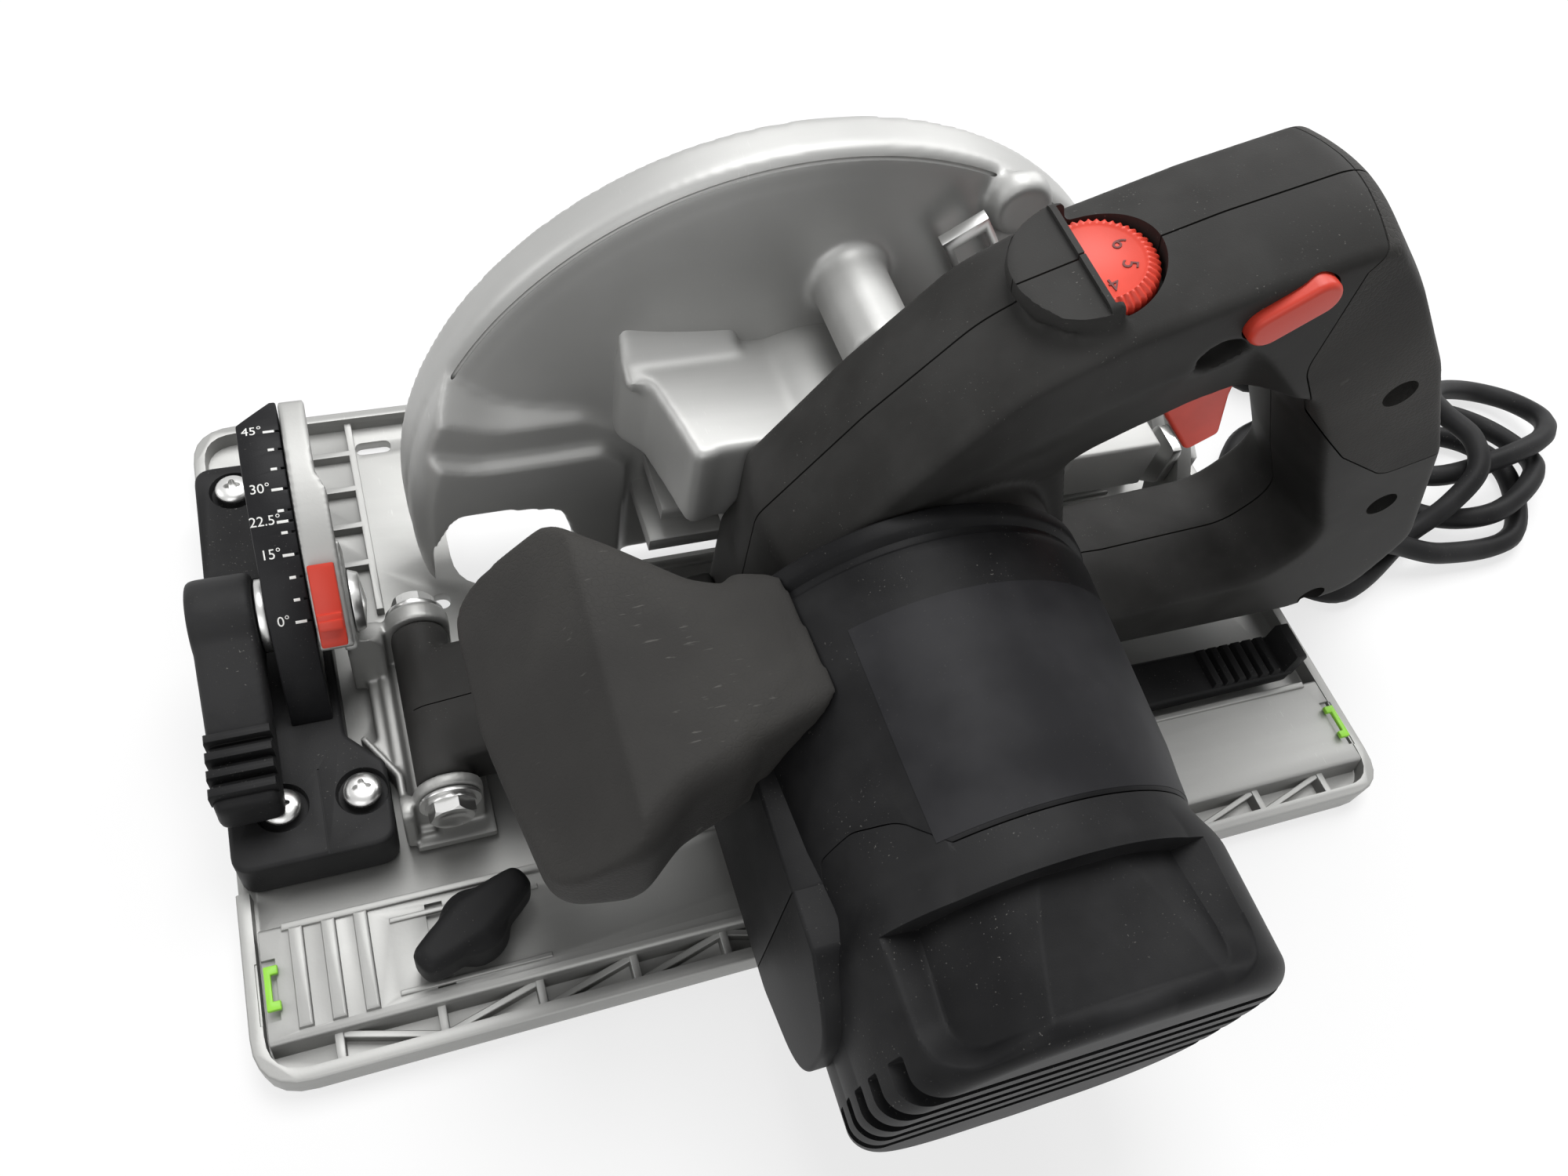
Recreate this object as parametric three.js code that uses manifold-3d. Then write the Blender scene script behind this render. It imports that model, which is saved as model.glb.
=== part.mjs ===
// Hand-held circular saw with a die-cast sole, a bevel quadrant, a swinging depth setting and a D handle.
// It stands on its sole at full cutting depth, with no blade fitted.
// Units are millimetres. X runs from the front of the saw (-) to its rear (+), Y from the motor side (-)
// to the guard side (+), and Z is up. The origin is the middle of the sole's underside.
import * as THREE from "three";
import { mergeVertices } from "three/addons/utils/BufferGeometryUtils.js";
import Module from "manifold-3d";

const wasm = await Module();
wasm.setup();

// ---------------------------------------------------------------- driving dimensions
const GAP = 0.3; // clearance between two pieces that touch
const ROUND = 16; // sides of a small round piece
const RIM_SIDES = 40; // sides of the large guards

const SOLE = { length: 300, width: 186, floor: 3, rim: 8, rimWidth: 3, corner: 12 };
const SLOT = { front: -87, rear: 112, near: 27.5, far: 58, corner: 12 };
const CHANNEL = { near: -84, far: -58, height: 9, front: -146, rear: 146 };
const BLOCK = { front: -149, rear: -113, recess: -121, near: -47, far: 71, top: 17 };

const TILT = { y: 45, z: 0 }; // line that the bevel turns about, along X
const PIVOT = { x: -100, z: 20 }; // line that the depth setting turns about, along Y
const ARBOR = { x: 6, z: 30 }; // blade spindle, along Y, at full depth
const MOTOR = { x: 4, z: 58 }; // motor shaft, along Y

const QUADRANT = { inner: 42, outer: 60, slot: 48, end: 97, zero: 43 };
const PLATES = { scale: -132.5, quadrant: -122.7, shoe: -117.2, wall: -114.2 }; // front faces along X
const BOLT_RADIUS = 3.9; // M8 clamp bolts
const GUARD = { radius: 102.6, wall: 2.5, near: 34.5, far: 50.5, bottom: 7 };
const LOWER_GUARD = { radius: 97.5, near: 38.2, far: 48.6, start: -13.8, span: 166.8 };
const HANDLE = { near: -39, far: -1, seam: -20, edge: 7, crown: 14 };
const BARREL = { far: HANDLE.near - GAP, near: -105, farRadius: 47.2, nearRadius: 42.8 };
const CAP = { near: -144, radius: 43, top: 95 };
const DEPTH_RADIUS = 165; // distance of the depth clamp from the depth pivot
const DEPTH_GUIDE = { near: 27, far: 30, inner: 159, outer: 171 };
const DIAL = { x: 32.5, z: 146.6, slope: 17, radius: 12.3, thick: 6 };
const CORD_RADIUS = 3.5;
const COIL = { x: 220, y: 95, inner: 28, outer: 49, height: 28.3 };

// ---------------------------------------------------------------- materials
const paint = (color, roughness, metalness = 0) =>
  new THREE.MeshStandardMaterial({ color, roughness, metalness });
const CAST = paint(0xb9bab8, 0.45, 0.9);
const STEEL = paint(0xc9cacb, 0.28, 1);
const DARK_STEEL = paint(0x77787a, 0.4, 1);
const BLACK = paint(0x26262a, 0.55);
const GRIP = paint(0x2c2c2c, 0.8);
const RED = paint(0xd8321f, 0.45);
const GREEN = paint(0x8fd13a, 0.5);
const COPPER = paint(0xb87040, 0.35, 1);
const IRON = paint(0x5c5e62, 0.5, 0.8);
const RUBBER = paint(0x1d1d1e, 0.7);

// ---------------------------------------------------------------- solids
const radians = THREE.MathUtils.degToRad;
const cosine = (degrees) => Math.cos(radians(degrees));
const sine = (degrees) => Math.sin(radians(degrees));

// A geometry as a manifold-3d solid with its faces pointing out. The slivers where a turned face meets
// its axis are left out.
function toSolid(geometry) {
  const bare = geometry.clone();
  bare.deleteAttribute("normal");
  bare.deleteAttribute("uv");
  const merged = mergeVertices(bare, 1e-4);
  const corners = [];
  const { array, count } = merged.index;
  for (let i = 0; i < count; i += 3) {
    const [a, b, c] = array.slice(i, i + 3);
    if (a !== b && b !== c && c !== a) corners.push(a, b, c);
  }
  const make = (triVerts) =>
    new wasm.Manifold(
      new wasm.Mesh({ numProp: 3, vertProperties: merged.attributes.position.array, triVerts }),
    );
  const solid = make(new Uint32Array(corners));
  return solid.volume() < 0 ? make(new Uint32Array(corners.reverse())) : solid;
}

function toGeometry(solid) {
  const mesh = solid.getMesh();
  const geometry = new THREE.BufferGeometry();
  geometry.setAttribute("position", new THREE.BufferAttribute(mesh.vertProperties, 3));
  geometry.setIndex(new THREE.BufferAttribute(mesh.triVerts, 1));
  geometry.computeVertexNormals();
  return geometry;
}

const join = (...parts) => toGeometry(parts.map(toSolid).reduce((sum, part) => sum.add(part)));
const cut = (body, ...tools) =>
  toGeometry(tools.map(toSolid).reduce((left, tool) => left.subtract(tool), toSolid(body)));
const common = (a, b) => toGeometry(toSolid(a).intersect(toSolid(b)));

// A closed outline through corners [a, b, radius]; a corner with no radius of its own takes the given one.
function outline(corners, radius = 0, Kind = THREE.Shape) {
  const path = new Kind();
  corners.forEach(([a, b, own = radius], i) => {
    const corner = new THREE.Vector2(a, b);
    const before = new THREE.Vector2(...corners.at(i - 1)).sub(corner);
    const after = new THREE.Vector2(...corners[(i + 1) % corners.length]).sub(corner);
    const half = Math.acos(before.dot(after) / before.length() / after.length()) / 2;
    const reach = Math.min(own / Math.tan(half), before.length() * 0.49, after.length() * 0.49);
    const start = before.setLength(reach).add(corner);
    const end = after.setLength(reach).add(corner);
    if (i === 0) path.moveTo(start.x, start.y);
    else path.lineTo(start.x, start.y);
    if (own > 0) path.quadraticCurveTo(a, b, end.x, end.y);
  });
  path.closePath();
  return path;
}

const rectangle = (a0, a1, b0, b1, radius = 0, Kind = THREE.Shape) =>
  outline([[a0, b0], [a1, b0], [a1, b1], [a0, b1]], radius, Kind);

// The band between two radii and two angles about a centre, in degrees.
function sector([a, b], inner, outer, start, end) {
  const shape = new THREE.Shape();
  shape.absarc(a, b, outer, radians(start), radians(end), false);
  shape.absarc(a, b, inner, radians(end), radians(start), true);
  shape.closePath();
  return shape;
}

// Extrudes a shape by a depth; edge rounds both rims inwards by that much, over a run along the depth.
function extrude(shape, depth, edge = 0, curveSegments = 2, run = edge) {
  return new THREE.ExtrudeGeometry(shape, {
    depth: depth - 2 * run,
    bevelEnabled: edge > 0,
    bevelThickness: run,
    bevelSize: edge,
    bevelOffset: -edge,
    bevelSegments: edge > 3 ? 2 : 1,
    curveSegments,
  }).translate(0, 0, run);
}

// A shape drawn in (y, z), (x, z) or (x, y), extruded along the third axis.
const TO_X = new THREE.Matrix4().makeBasis(
  new THREE.Vector3(0, 1, 0),
  new THREE.Vector3(0, 0, 1),
  new THREE.Vector3(1, 0, 0),
);
const alongX = (shape, x0, x1, edge, segments) =>
  extrude(shape, x1 - x0, edge, segments).applyMatrix4(TO_X).translate(x0, 0, 0);
const alongY = (shape, y0, y1, edge, segments, run) =>
  extrude(shape, y1 - y0, edge, segments, run).rotateX(Math.PI / 2).translate(0, y1, 0);
const alongZ = (shape, z0, z1, edge, segments) =>
  extrude(shape, z1 - z0, edge, segments).translate(0, 0, z0);

const box = (x0, x1, y0, y1, z0, z1) =>
  new THREE.BoxGeometry(x1 - x0, y1 - y0, z1 - z0).translate(
    (x0 + x1) / 2,
    (y0 + y1) / 2,
    (z0 + z1) / 2,
  );

// Turns a geometry made about the Y axis so that it lies along the given axis.
function lay(geometry, axis) {
  if (axis === "x") return geometry.rotateZ(-Math.PI / 2);
  if (axis === "z") return geometry.rotateX(Math.PI / 2);
  return geometry;
}

// A round bar along an axis, from one place on it to another; centre holds the other two coordinates.
function rod(axis, radius, from, to, [a, b] = [0, 0], endRadius = radius, sides = ROUND) {
  const bar = new THREE.CylinderGeometry(endRadius, radius, to - from, sides);
  lay(bar.translate(0, (from + to) / 2, 0), axis);
  if (axis === "x") return bar.translate(0, a, b);
  if (axis === "y") return bar.translate(a, 0, b);
  return bar.translate(a, b, 0);
}

// A ring about an axis: a turned section of [radius, along] corners.
function turned(axis, section, [a, b] = [0, 0], sides = ROUND) {
  const points = [...section, section[0]].map(([radius, along]) => new THREE.Vector2(radius, along));
  const ring = lay(new THREE.LatheGeometry(points, sides), axis);
  if (axis === "x") return ring.translate(0, a, b);
  if (axis === "y") return ring.translate(a, 0, b);
  return ring.translate(a, b, 0);
}

const ring = (axis, inner, outer, from, to, centre, sides) =>
  turned(axis, [[inner, from], [outer, from], [outer, to], [inner, to]], centre, sides);

// ---------------------------------------------------------------- scene graph
// A moving assembly: turning or sliding the outer group moves its pieces about its joint,
// while the inner group lets each piece be written in the saw's own frame.
function assembly(parent, x, y, z) {
  const outer = new THREE.Group();
  outer.position.set(x, y, z);
  const inner = new THREE.Group();
  inner.position.set(-x, -y, -z);
  outer.add(inner);
  parent.add(outer);
  return inner;
}

function piece(parent, name, geometry, material) {
  const mesh = new THREE.Mesh(geometry, material);
  mesh.name = name;
  parent.add(mesh);
  return mesh;
}

const saw = new THREE.Group();
const tilting = assembly(saw, 0, TILT.y, TILT.z);
const body = assembly(tilting, PIVOT.x, 0, PIVOT.z);
const spindle = assembly(body, ARBOR.x, 0, ARBOR.z);
const rotor = assembly(body, MOTOR.x, 0, MOTOR.z);

// ---------------------------------------------------------------- sole
// Short ribs and bosses that stiffen the edge between the near rim and the rail channel.
function edgeRibs() {
  const pitch = 22;
  const edge = -SOLE.width / 2 + SOLE.rimWidth - 0.5;
  const ribs = [];
  for (let x = -132; x < 140; x += pitch) {
    ribs.push(box(x - 1, x + 1, edge, CHANNEL.near + 1, 2, 7));
    if (x + pitch > 140) break;
    const diagonal = new THREE.BoxGeometry(pitch, 1.6, 4.5);
    const lean = Math.atan2(CHANNEL.near - edge, pitch) * (ribs.length % 4 === 1 ? 1 : -1);
    ribs.push(diagonal.rotateZ(lean).translate(x + pitch / 2, (edge + CHANNEL.near) / 2, 4.3));
  }
  return ribs;
}

function solePlate() {
  const halfX = SOLE.length / 2;
  const halfY = SOLE.width / 2;
  const plan = rectangle(-halfX, halfX, -halfY, halfY, SOLE.corner);
  const slot = rectangle(SLOT.front, SLOT.rear, SLOT.near, SLOT.far, SLOT.corner);
  const inside = rectangle(
    -halfX + SOLE.rimWidth, halfX - SOLE.rimWidth,
    -halfY + SOLE.rimWidth, halfY - SOLE.rimWidth, SOLE.corner - SOLE.rimWidth,
  );
  const rail = outline([
    [CHANNEL.near - 1.5, 2], [CHANNEL.near, CHANNEL.height],
    [CHANNEL.far, CHANNEL.height], [CHANNEL.far + 2, 2],
  ]);
  const groove = (x0, x1) => box(x0, x1, CHANNEL.near + 3, CHANNEL.far - 3, 6.5, CHANNEL.height + 1);
  const ridges = [-138, -131, -124].map((x) =>
    box(x - 1.5, x + 1.5, CHANNEL.near + 2, CHANNEL.far - 1, CHANNEL.height - 1, CHANNEL.height + 1.2));
  const farRibs = [40, 53, 66, 79].map((y) => box(-119, -107, y - 1, y + 1, 2, 6));
  const plate = join(
    alongZ(plan, 0, SOLE.floor),
    cut(alongZ(plan, 0, SOLE.rim), alongZ(inside, -1, SOLE.rim + 1),
      box(-halfX - 1, -140, BLOCK.near - 1, BLOCK.far + 1, SOLE.floor, SOLE.rim + 1)),
    cut(alongX(rail, CHANNEL.front, CHANNEL.rear), groove(-110, -106)),
    ...ridges,
    ...edgeRibs(),
    ...farRibs,
    box(-109, -107, 24, 91, 2, 6),
    box(-80, 118, SLOT.near - 5, SLOT.near - 2, 2, 4.5),
  );
  return cut(
    plate,
    alongZ(slot, -1, 20),
    alongZ(rectangle(-107, -97, 80, 84.5, 2), -1, 20),
    rod("z", 2.5, -1, 20, [-92, 25], 2.5, 12),
  );
}
piece(saw, "base_plate", solePlate(), CAST);

// Clips at both ends of the rail channel, C-shaped in plan, that keep the guide rail from rattling.
function glideClip(x, side) {
  const clip = outline([
    [0, -77], [3, -77], [3, -75], [1.4, -75], [1.4, -69], [3, -69], [3, -67], [0, -67],
  ]);
  return alongZ(clip, CHANNEL.height + GAP, CHANNEL.height + 1.6)
    .scale(side, 1, 1)
    .translate(x, 0, 0);
}
piece(saw, "glide_clip_front", toGeometry(toSolid(glideClip(-145.5, 1))), GREEN);
piece(saw, "glide_clip_rear", toGeometry(toSolid(glideClip(145.5, -1))), GREEN);

// Winged screw that holds a parallel guide in the rail channel.
const FENCE_SCREW = { x: -100, y: -71 };
function wingScrew() {
  const wing = outline([[-2, -7], [11, -5], [15, -3], [15, 3], [11, 5], [-2, 7]], 3);
  const wings = [30, 210].map((turn) =>
    alongZ(wing, CHANNEL.height + 2, CHANNEL.height + 13, 2).rotateZ(radians(turn)));
  const screw = join(rod("z", 8, CHANNEL.height + GAP, CHANNEL.height + 11), ...wings);
  return screw.translate(FENCE_SCREW.x, FENCE_SCREW.y, 0);
}
piece(assembly(saw, FENCE_SCREW.x, FENCE_SCREW.y, 0), "fence_screw", wingScrew(), BLACK);

// ---------------------------------------------------------------- bevel quadrant on the sole
const BLOCK_SCREWS = [[-139.5, 62], [-119, -33], [-137, -33]];
function frontBlock() {
  const plan = outline([
    [BLOCK.front, BLOCK.near], [BLOCK.rear, BLOCK.near], [BLOCK.rear, -26], [BLOCK.recess, -17],
    [BLOCK.recess, BLOCK.far], [BLOCK.front, BLOCK.far],
  ], 5);
  const holes = BLOCK_SCREWS.map(([x, y]) => rod("z", 3.2, 6, 30, [x, y], 3.2, 12));
  return cut(alongZ(plan, SOLE.floor + GAP, BLOCK.top, 1.5), ...holes);
}
piece(saw, "front_block", frontBlock(), BLACK);
BLOCK_SCREWS.forEach(([x, y], i) => {
  const { top } = BLOCK;
  const screw = join(
    turned("z", [[0, top + GAP], [4.4, top + GAP], [3.4, top + 1.9], [0, top + 2.1]], [x, y], 20),
    rod("z", 2.9, 7, top + 1, [x, y], 2.9, 12),
  );
  piece(saw, "block_screw_" + (i + 1), screw, STEEL);
});

// The bevel arcs are drawn in (y, z) about the tilt line, with the angle counted from the motor side.
const bevelArc = (inner, outer, start, end) =>
  sector([TILT.y, TILT.z], inner, outer, 180 - end, 180 - start);
const slotArc = (radius, half) =>
  bevelArc(radius - half, radius + half, QUADRANT.zero - 6, QUADRANT.zero + 51);

// One of the two arc plates that stand on the front block, between two places along X.
function arcPlate(x0, x1) {
  const { inner, outer, end, slot } = QUADRANT;
  const arc = alongX(bevelArc(inner, outer, 5, end), x0, x1, 0, 10);
  const slotted = cut(arc, alongX(slotArc(slot, 4.3), -140, -110, 0, 6));
  return common(slotted, box(-200, 0, -100, 150, BLOCK.top + GAP, 100));
}
piece(saw, "bevel_scale", arcPlate(PLATES.scale, PLATES.quadrant - GAP), BLACK);
piece(saw, "bevel_quadrant", arcPlate(PLATES.quadrant, PLATES.shoe - GAP), CAST);

// Smaller quadrant that guides the rear end of the tilting frame.
const REAR_QUADRANT = { x0: 128, x1: 133, inner: 26, outer: 42, slot: 34 };
function rearQuadrant() {
  const { x0, x1, inner, outer, slot } = REAR_QUADRANT;
  const arc = alongX(bevelArc(inner, outer, 10, 98), x0, x1, 0, 7);
  const bottom = SOLE.floor + GAP;
  return join(
    cut(arc, alongX(slotArc(slot, 3.2), 120, 140, 0, 5), box(120, 140, -100, 100, -10, bottom)),
    box(x0, 142, 4, 18, bottom, 8),
  );
}
piece(saw, "rear_quadrant", rearQuadrant(), CAST);

// ---------------------------------------------------------------- tilting frame
const CLAMP = {
  y: TILT.y - QUADRANT.slot * cosine(QUADRANT.zero),
  z: TILT.z + QUADRANT.slot * sine(QUADRANT.zero),
};
const EAR = { near: [-41, -38], far: [5.4, 10] };
const HINGE = { near: EAR.near[1] + GAP, far: EAR.far[0] - GAP, radius: 6.9 };

function earPlate(y0, y1, foot) {
  const { x, z } = PIVOT;
  const shape = outline([[x - 8, foot], [x + 8, foot], [x + 8, z + 8, 8], [x - 8, z + 8, 8]]);
  return alongY(shape, y0, y1);
}

function bevelBracket() {
  const { inner, outer } = QUADRANT;
  const shoe = alongX(bevelArc(inner - 1.5, outer - 2, 28, 60), PLATES.shoe, PLATES.wall, 0, 5);
  const wallPlan = outline([[-48, 3.6], [-40, 3.6], [2, 3.6], [8, 3.6], [8, 26], [-38, 26], [-44, 20]]);
  const bracket = join(
    shoe,
    alongX(wallPlan, -110.2, -107.3),
    box(-114.3, -107.3, -1, 10, 18, 29),
    box(-108, -92, EAR.far[0], EAR.far[1], 3.6, 20),
    earPlate(EAR.near[0], EAR.near[1], 3.6),
    earPlate(EAR.far[0], EAR.far[1], 3.6),
    box(-117.2, -108, -22, 6, 17.6, 20.5),
    box(-109, -90, -46, 8, 3.6, 6.2),
  );
  return cut(
    bracket,
    rod("x", BOLT_RADIUS + GAP, -130, -108.5, [CLAMP.y, CLAMP.z]),
    rod("y", BOLT_RADIUS, -50, 20, [PIVOT.x, PIVOT.z]),
    rod("x", 10, -114.2, -108.5, [CLAMP.y, CLAMP.z]),
  );
}
piece(tilting, "bevel_bracket", bevelBracket(), CAST);

// Pointer that sits over the quadrant; its ridge marks the angle.
function bevelPointer() {
  const { outer, zero } = QUADRANT;
  return join(
    alongX(bevelArc(outer + GAP, outer + 3.4, zero - 7, zero + 13), -122, -114, 0, 4),
    alongX(bevelArc(outer + 1, outer + 5, zero - 2, zero + 1), -121.6, -114.4, 0, 2),
  );
}
piece(tilting, "bevel_pointer", bevelPointer(), RED);

const LEVER = { x0: -150, x1: -135.3 }; // outer and inner face of the bevel lever
const clampBolt = join(
  rod("x", BOLT_RADIUS - GAP, LEVER.x0 + 2, -113.5, [CLAMP.y, CLAMP.z]),
  turned("x", [[0, -113.9], [8, -113.9], [7, -111.5], [0, -110.5]], [CLAMP.y, CLAMP.z]),
);
piece(tilting, "clamp_bolt", clampBolt, STEEL);
const clampWasher = ring("x", BOLT_RADIUS, 9, -135, PLATES.scale - GAP, [CLAMP.y, CLAMP.z]);
piece(tilting, "clamp_washer", clampWasher, STEEL);

// Lever on the clamp bolt: a round head with an arm that leans down towards the motor side.
function bevelLever() {
  const arm = outline([
    [CLAMP.y + 3, CLAMP.z + 10], [CLAMP.y - 8, CLAMP.z + 7], [-26, 32], [-37, 30, 3],
    [-38, 20, 3], [-24, 19.5], [CLAMP.y - 12, 22], [CLAMP.y + 3, CLAMP.z - 10],
  ], 4);
  const ribs = [-33, -28.5, -24, -19.5].map((y) =>
    box(LEVER.x0 + 1, LEVER.x1 - 1, y - 1.1, y + 1.1, 28, 33.4));
  const lever = join(
    rod("x", 11, LEVER.x0, LEVER.x1, [CLAMP.y, CLAMP.z]),
    alongX(arm, LEVER.x0 + 0.4, LEVER.x1 - 0.2, 1.5),
    ...ribs,
  );
  return cut(lever, rod("x", BOLT_RADIUS, LEVER.x0 + 1.7, -130, [CLAMP.y, CLAMP.z]));
}
piece(assembly(tilting, 0, CLAMP.y, CLAMP.z), "bevel_lever", bevelLever(), BLACK);

function pivotBolt(headFace, side) {
  return join(
    rod("y", BOLT_RADIUS - GAP, 0, 20, [0, 0], BOLT_RADIUS - GAP, 16),
    rod("y", 7, -1.2, 0.1, [0, 0], 7, 20),
    rod("y", 5.2, -3.4, -1, [0, 0], 5.2, 16),
  )
    .rotateX(side < 0 ? 0 : Math.PI)
    .translate(PIVOT.x, headFace, PIVOT.z);
}
piece(tilting, "pivot_bolt_near", pivotBolt(EAR.near[0] - GAP, -1), STEEL);
piece(tilting, "pivot_bolt_far", pivotBolt(EAR.far[1] + GAP, 1), STEEL);

// Curved plate about the depth pivot: the depth clamp slides in its slot.
function depthGuide() {
  const centre = [PIVOT.x, PIVOT.z];
  const { near, far, inner, outer } = DEPTH_GUIDE;
  const arc = alongY(sector(centre, inner, outer, -5.6, 35.6), near, far, 0, 8);
  const slot = sector(centre, DEPTH_RADIUS - 4.1, DEPTH_RADIUS + 4.1, -4.6, 34.4);
  const tail = outline([[68, 4.6], [124, 4.6], [127.7, 4.6], [127.7, 15], [72, 15]]);
  const slider = outline([[near - 0.1, 4.6], [far, 4.6], [far, 14], [25, 33], [14, 33], [14, 18]], 2);
  const reach = REAR_QUADRANT.slot;
  const guideBolt = [TILT.y - reach * cosine(QUADRANT.zero), reach * sine(QUADRANT.zero)];
  const plate = join(
    arc,
    alongY(tail, near, far),
    alongX(slider, 124.7, 127.7),
    rod("x", 2.8, 127, 133.5, guideBolt, 2.8, 16),
    rod("x", 5.5, 133.3, 137, guideBolt, 5.5, 6),
  );
  return cut(plate, alongY(slot, 20, 40, 0, 7));
}
piece(tilting, "depth_guide", depthGuide(), STEEL);

// ---------------------------------------------------------------- guard and gear housing
const hub = [ARBOR.x, ARBOR.z];
const axis = [MOTOR.x, MOTOR.z];

function upperGuard() {
  const { radius, near, far, wall } = GUARD;
  const shell = turned("y", [
    [20, near], [94, near], [99.5, near + 1.7], [radius, near + 5.5], [radius, far],
    [60, far], [60, far - 1.4], [radius - wall, far - 1.4], [radius - wall, near + 6.2],
    [98.6, near + 3.6], [94, near + wall], [20, near + wall],
  ], hub, RIM_SIDES);
  const arch = alongY(outline([[-85, -20], [-85, 21, 5], [-74, 16.5, 6], [-54, 16.5, 5], [-51, -20]]), 0, 44);
  const guard = join(
    cut(shell, box(-150, 150, 0, 60, -100, GUARD.bottom), box(-150, 150, 44, 60, -10, 12),
      box(-120, 150, 46, 60, -10, 20), arch),
    rod("y", 9, 20, near + 0.5, [10, 103], 10.5),
    rod("y", 9, 30.6, near + 0.5, [47, 120], 10.5),
  );
  return cut(guard, DUCT);
}

// Spout on the guard's wall: the sawdust leaves through it towards the rear.
const DUCT = box(91, 130, 17, 60, 21.6, 35);
const dustSpout = cut(box(88, 118, 14, GUARD.near - GAP, 18.6, 38), DUCT);
piece(body, "upper_guard", upperGuard(), CAST);
piece(body, "dust_spout", dustSpout, CAST);

// Housing of the reduction gear, between the handle and the guard.
function gearHousing() {
  const y0 = HANDLE.far + GAP;
  const y1 = GUARD.near - GAP;
  const platform = outline([[-45, y1], [-27, y0], [4, y0], [4, y1]]);
  const shell = join(
    rod("y", 29, y0, y1, axis, 29, 28),
    rod("y", 24.8, y0, y1, hub, 24.8, 28),
    alongZ(platform, 60, 84, 1.5),
    rod("y", 15.8, y1 - 1, LOWER_GUARD.near + 1.4, hub),
    ...[44, 52, 60].map((z) => box(-41, -15, 12, y1, z, z + 3)),
  );
  return cut(
    shell,
    rod("y", 24.5, y0 - 1, 29, axis, 24.5, 24),
    rod("y", 22.4, y0 - 1, 29, hub, 22.4, 24),
    rod("y", 8.4, 20, 45, hub),
    rod("x", 4, -60, 0, [22, ARBOR.z]),
  );
}
piece(body, "gear_housing", gearHousing(), CAST);

const spindleLock = join(rod("x", 3.6, -33, -12, [22, ARBOR.z]), rod("x", 7, -37, -32.5, [22, ARBOR.z]));
piece(assembly(body, -30, 22, ARBOR.z), "spindle_lock", spindleLock, BLACK);

// ---------------------------------------------------------------- lower guard
function lowerGuard() {
  const { radius, near, far, start, span } = LOWER_GUARD;
  const wall = 1.4;
  const from = start;
  const to = start + span;
  const outer = alongY(sector(hub, radius - wall, radius, from, to), near, far, 0, 10);
  const nearPlate = alongY(sector(hub, 18, radius, from, to), near, near + wall, 0, 10);
  const farPlate = alongY(sector(hub, 74, radius, from, to), far - wall, far, 0, 10);
  return join(outer, nearPlate, farPlate, ring("y", 16.1, 25, near, near + wall, hub));
}
piece(assembly(body, ARBOR.x, 0, ARBOR.z), "lower_guard", lowerGuard(), CAST);

// ---------------------------------------------------------------- spindle and drive
const shaft = join(
  rod("y", 8, 2, 41, hub),
  rod("y", 6, 40, 44, hub),
);
piece(spindle, "spindle", cut(shaft, rod("y", 3.4, 30, 60, hub, 3.4, 16)), STEEL);
piece(spindle, "spindle_gear", ring("y", 8 + GAP, 21.4, 6, 18, hub, 30), DARK_STEEL);
const innerFlange = turned("y", [
  [8 + GAP, 39.9], [20, 39.9], [20, 42.3], [14.7, 42.3], [14.7, 44], [8 + GAP, 44],
], hub);
piece(spindle, "inner_flange", innerFlange, STEEL);
piece(spindle, "outer_flange", ring("y", 4, 20, 44.4, 47.2, hub), STEEL);
const arborBolt = join(rod("y", 3.1, 32, 48, hub, 3.1, 16), rod("y", 7.5, 47.5, 52.5, hub, 7.5, 6));
piece(spindle, "arbor_bolt", arborBolt, DARK_STEEL);

piece(rotor, "motor_shaft", join(rod("y", 4, -136, 6, axis), rod("y", 6, 5, 19, axis, 6, 9)), STEEL);
piece(rotor, "armature", ring("y", 4 + GAP, 26, -98, -52, axis, 24), COPPER);
piece(rotor, "commutator", ring("y", 4 + GAP, 14, -122, -102, axis, 24), COPPER);
const blades = Array.from({ length: 9 }, (_, i) =>
  box(12, 24, -1, 1, 1, 7).rotateZ(radians(40 * i)).rotateX(-Math.PI / 2));
const fan = join(ring("y", 0, 24.5, 0, 1.6), ...blades, rod("y", 8, 0, 8));
piece(rotor, "fan", cut(fan, rod("y", 4 + GAP, -5, 20)).translate(MOTOR.x, -36, MOTOR.z), BLACK);
piece(body, "stator", ring("y", 27.5, 39, -98, -56, axis, 24), IRON);

// ---------------------------------------------------------------- motor housing
function motorHousing() {
  const { far, near, farRadius, nearRadius } = BARREL;
  return turned("y", [
    [39.5, near], [nearRadius, near], [44.2, near + 12], [farRadius - 0.6, far - 9],
    [farRadius - 1.4, far - 6], [farRadius, far - 4], [farRadius, far],
    [28, far], [28, far - 3], [39.5, far - 6],
  ], axis, 32);
}
piece(body, "motor_housing", motorHousing(), BLACK);

// End cap: a rounded box over the commutator with a raised panel, long vents and a pad on its front side.
function endCap() {
  const { near, radius } = CAP;
  const far = BARREL.near - GAP;
  const [left, right] = [MOTOR.x - radius, MOTOR.x + radius];
  const bottom = MOTOR.z - radius;
  const shape = outline([[left, bottom, 34], [right, bottom, 34], [right, CAP.top, 30], [left, CAP.top, 24]]);
  const shell = join(
    alongY(shape, near, far, 5, 4),
    rod("x", 12, left - 1.4, left + 6, [-118, MOTOR.z - 2]),
  );
  const vents = [];
  for (let row = 0; row < 4; row += 1)
    vents.push(box(-26, 36, near - 1, near + 6, 20 + row * 8, 24 + row * 8));
  return cut(shell, rod("y", 35, -137, far + 1, axis, 35, 32), ...vents);
}
piece(body, "end_cap", endCap(), BLACK);

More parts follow.
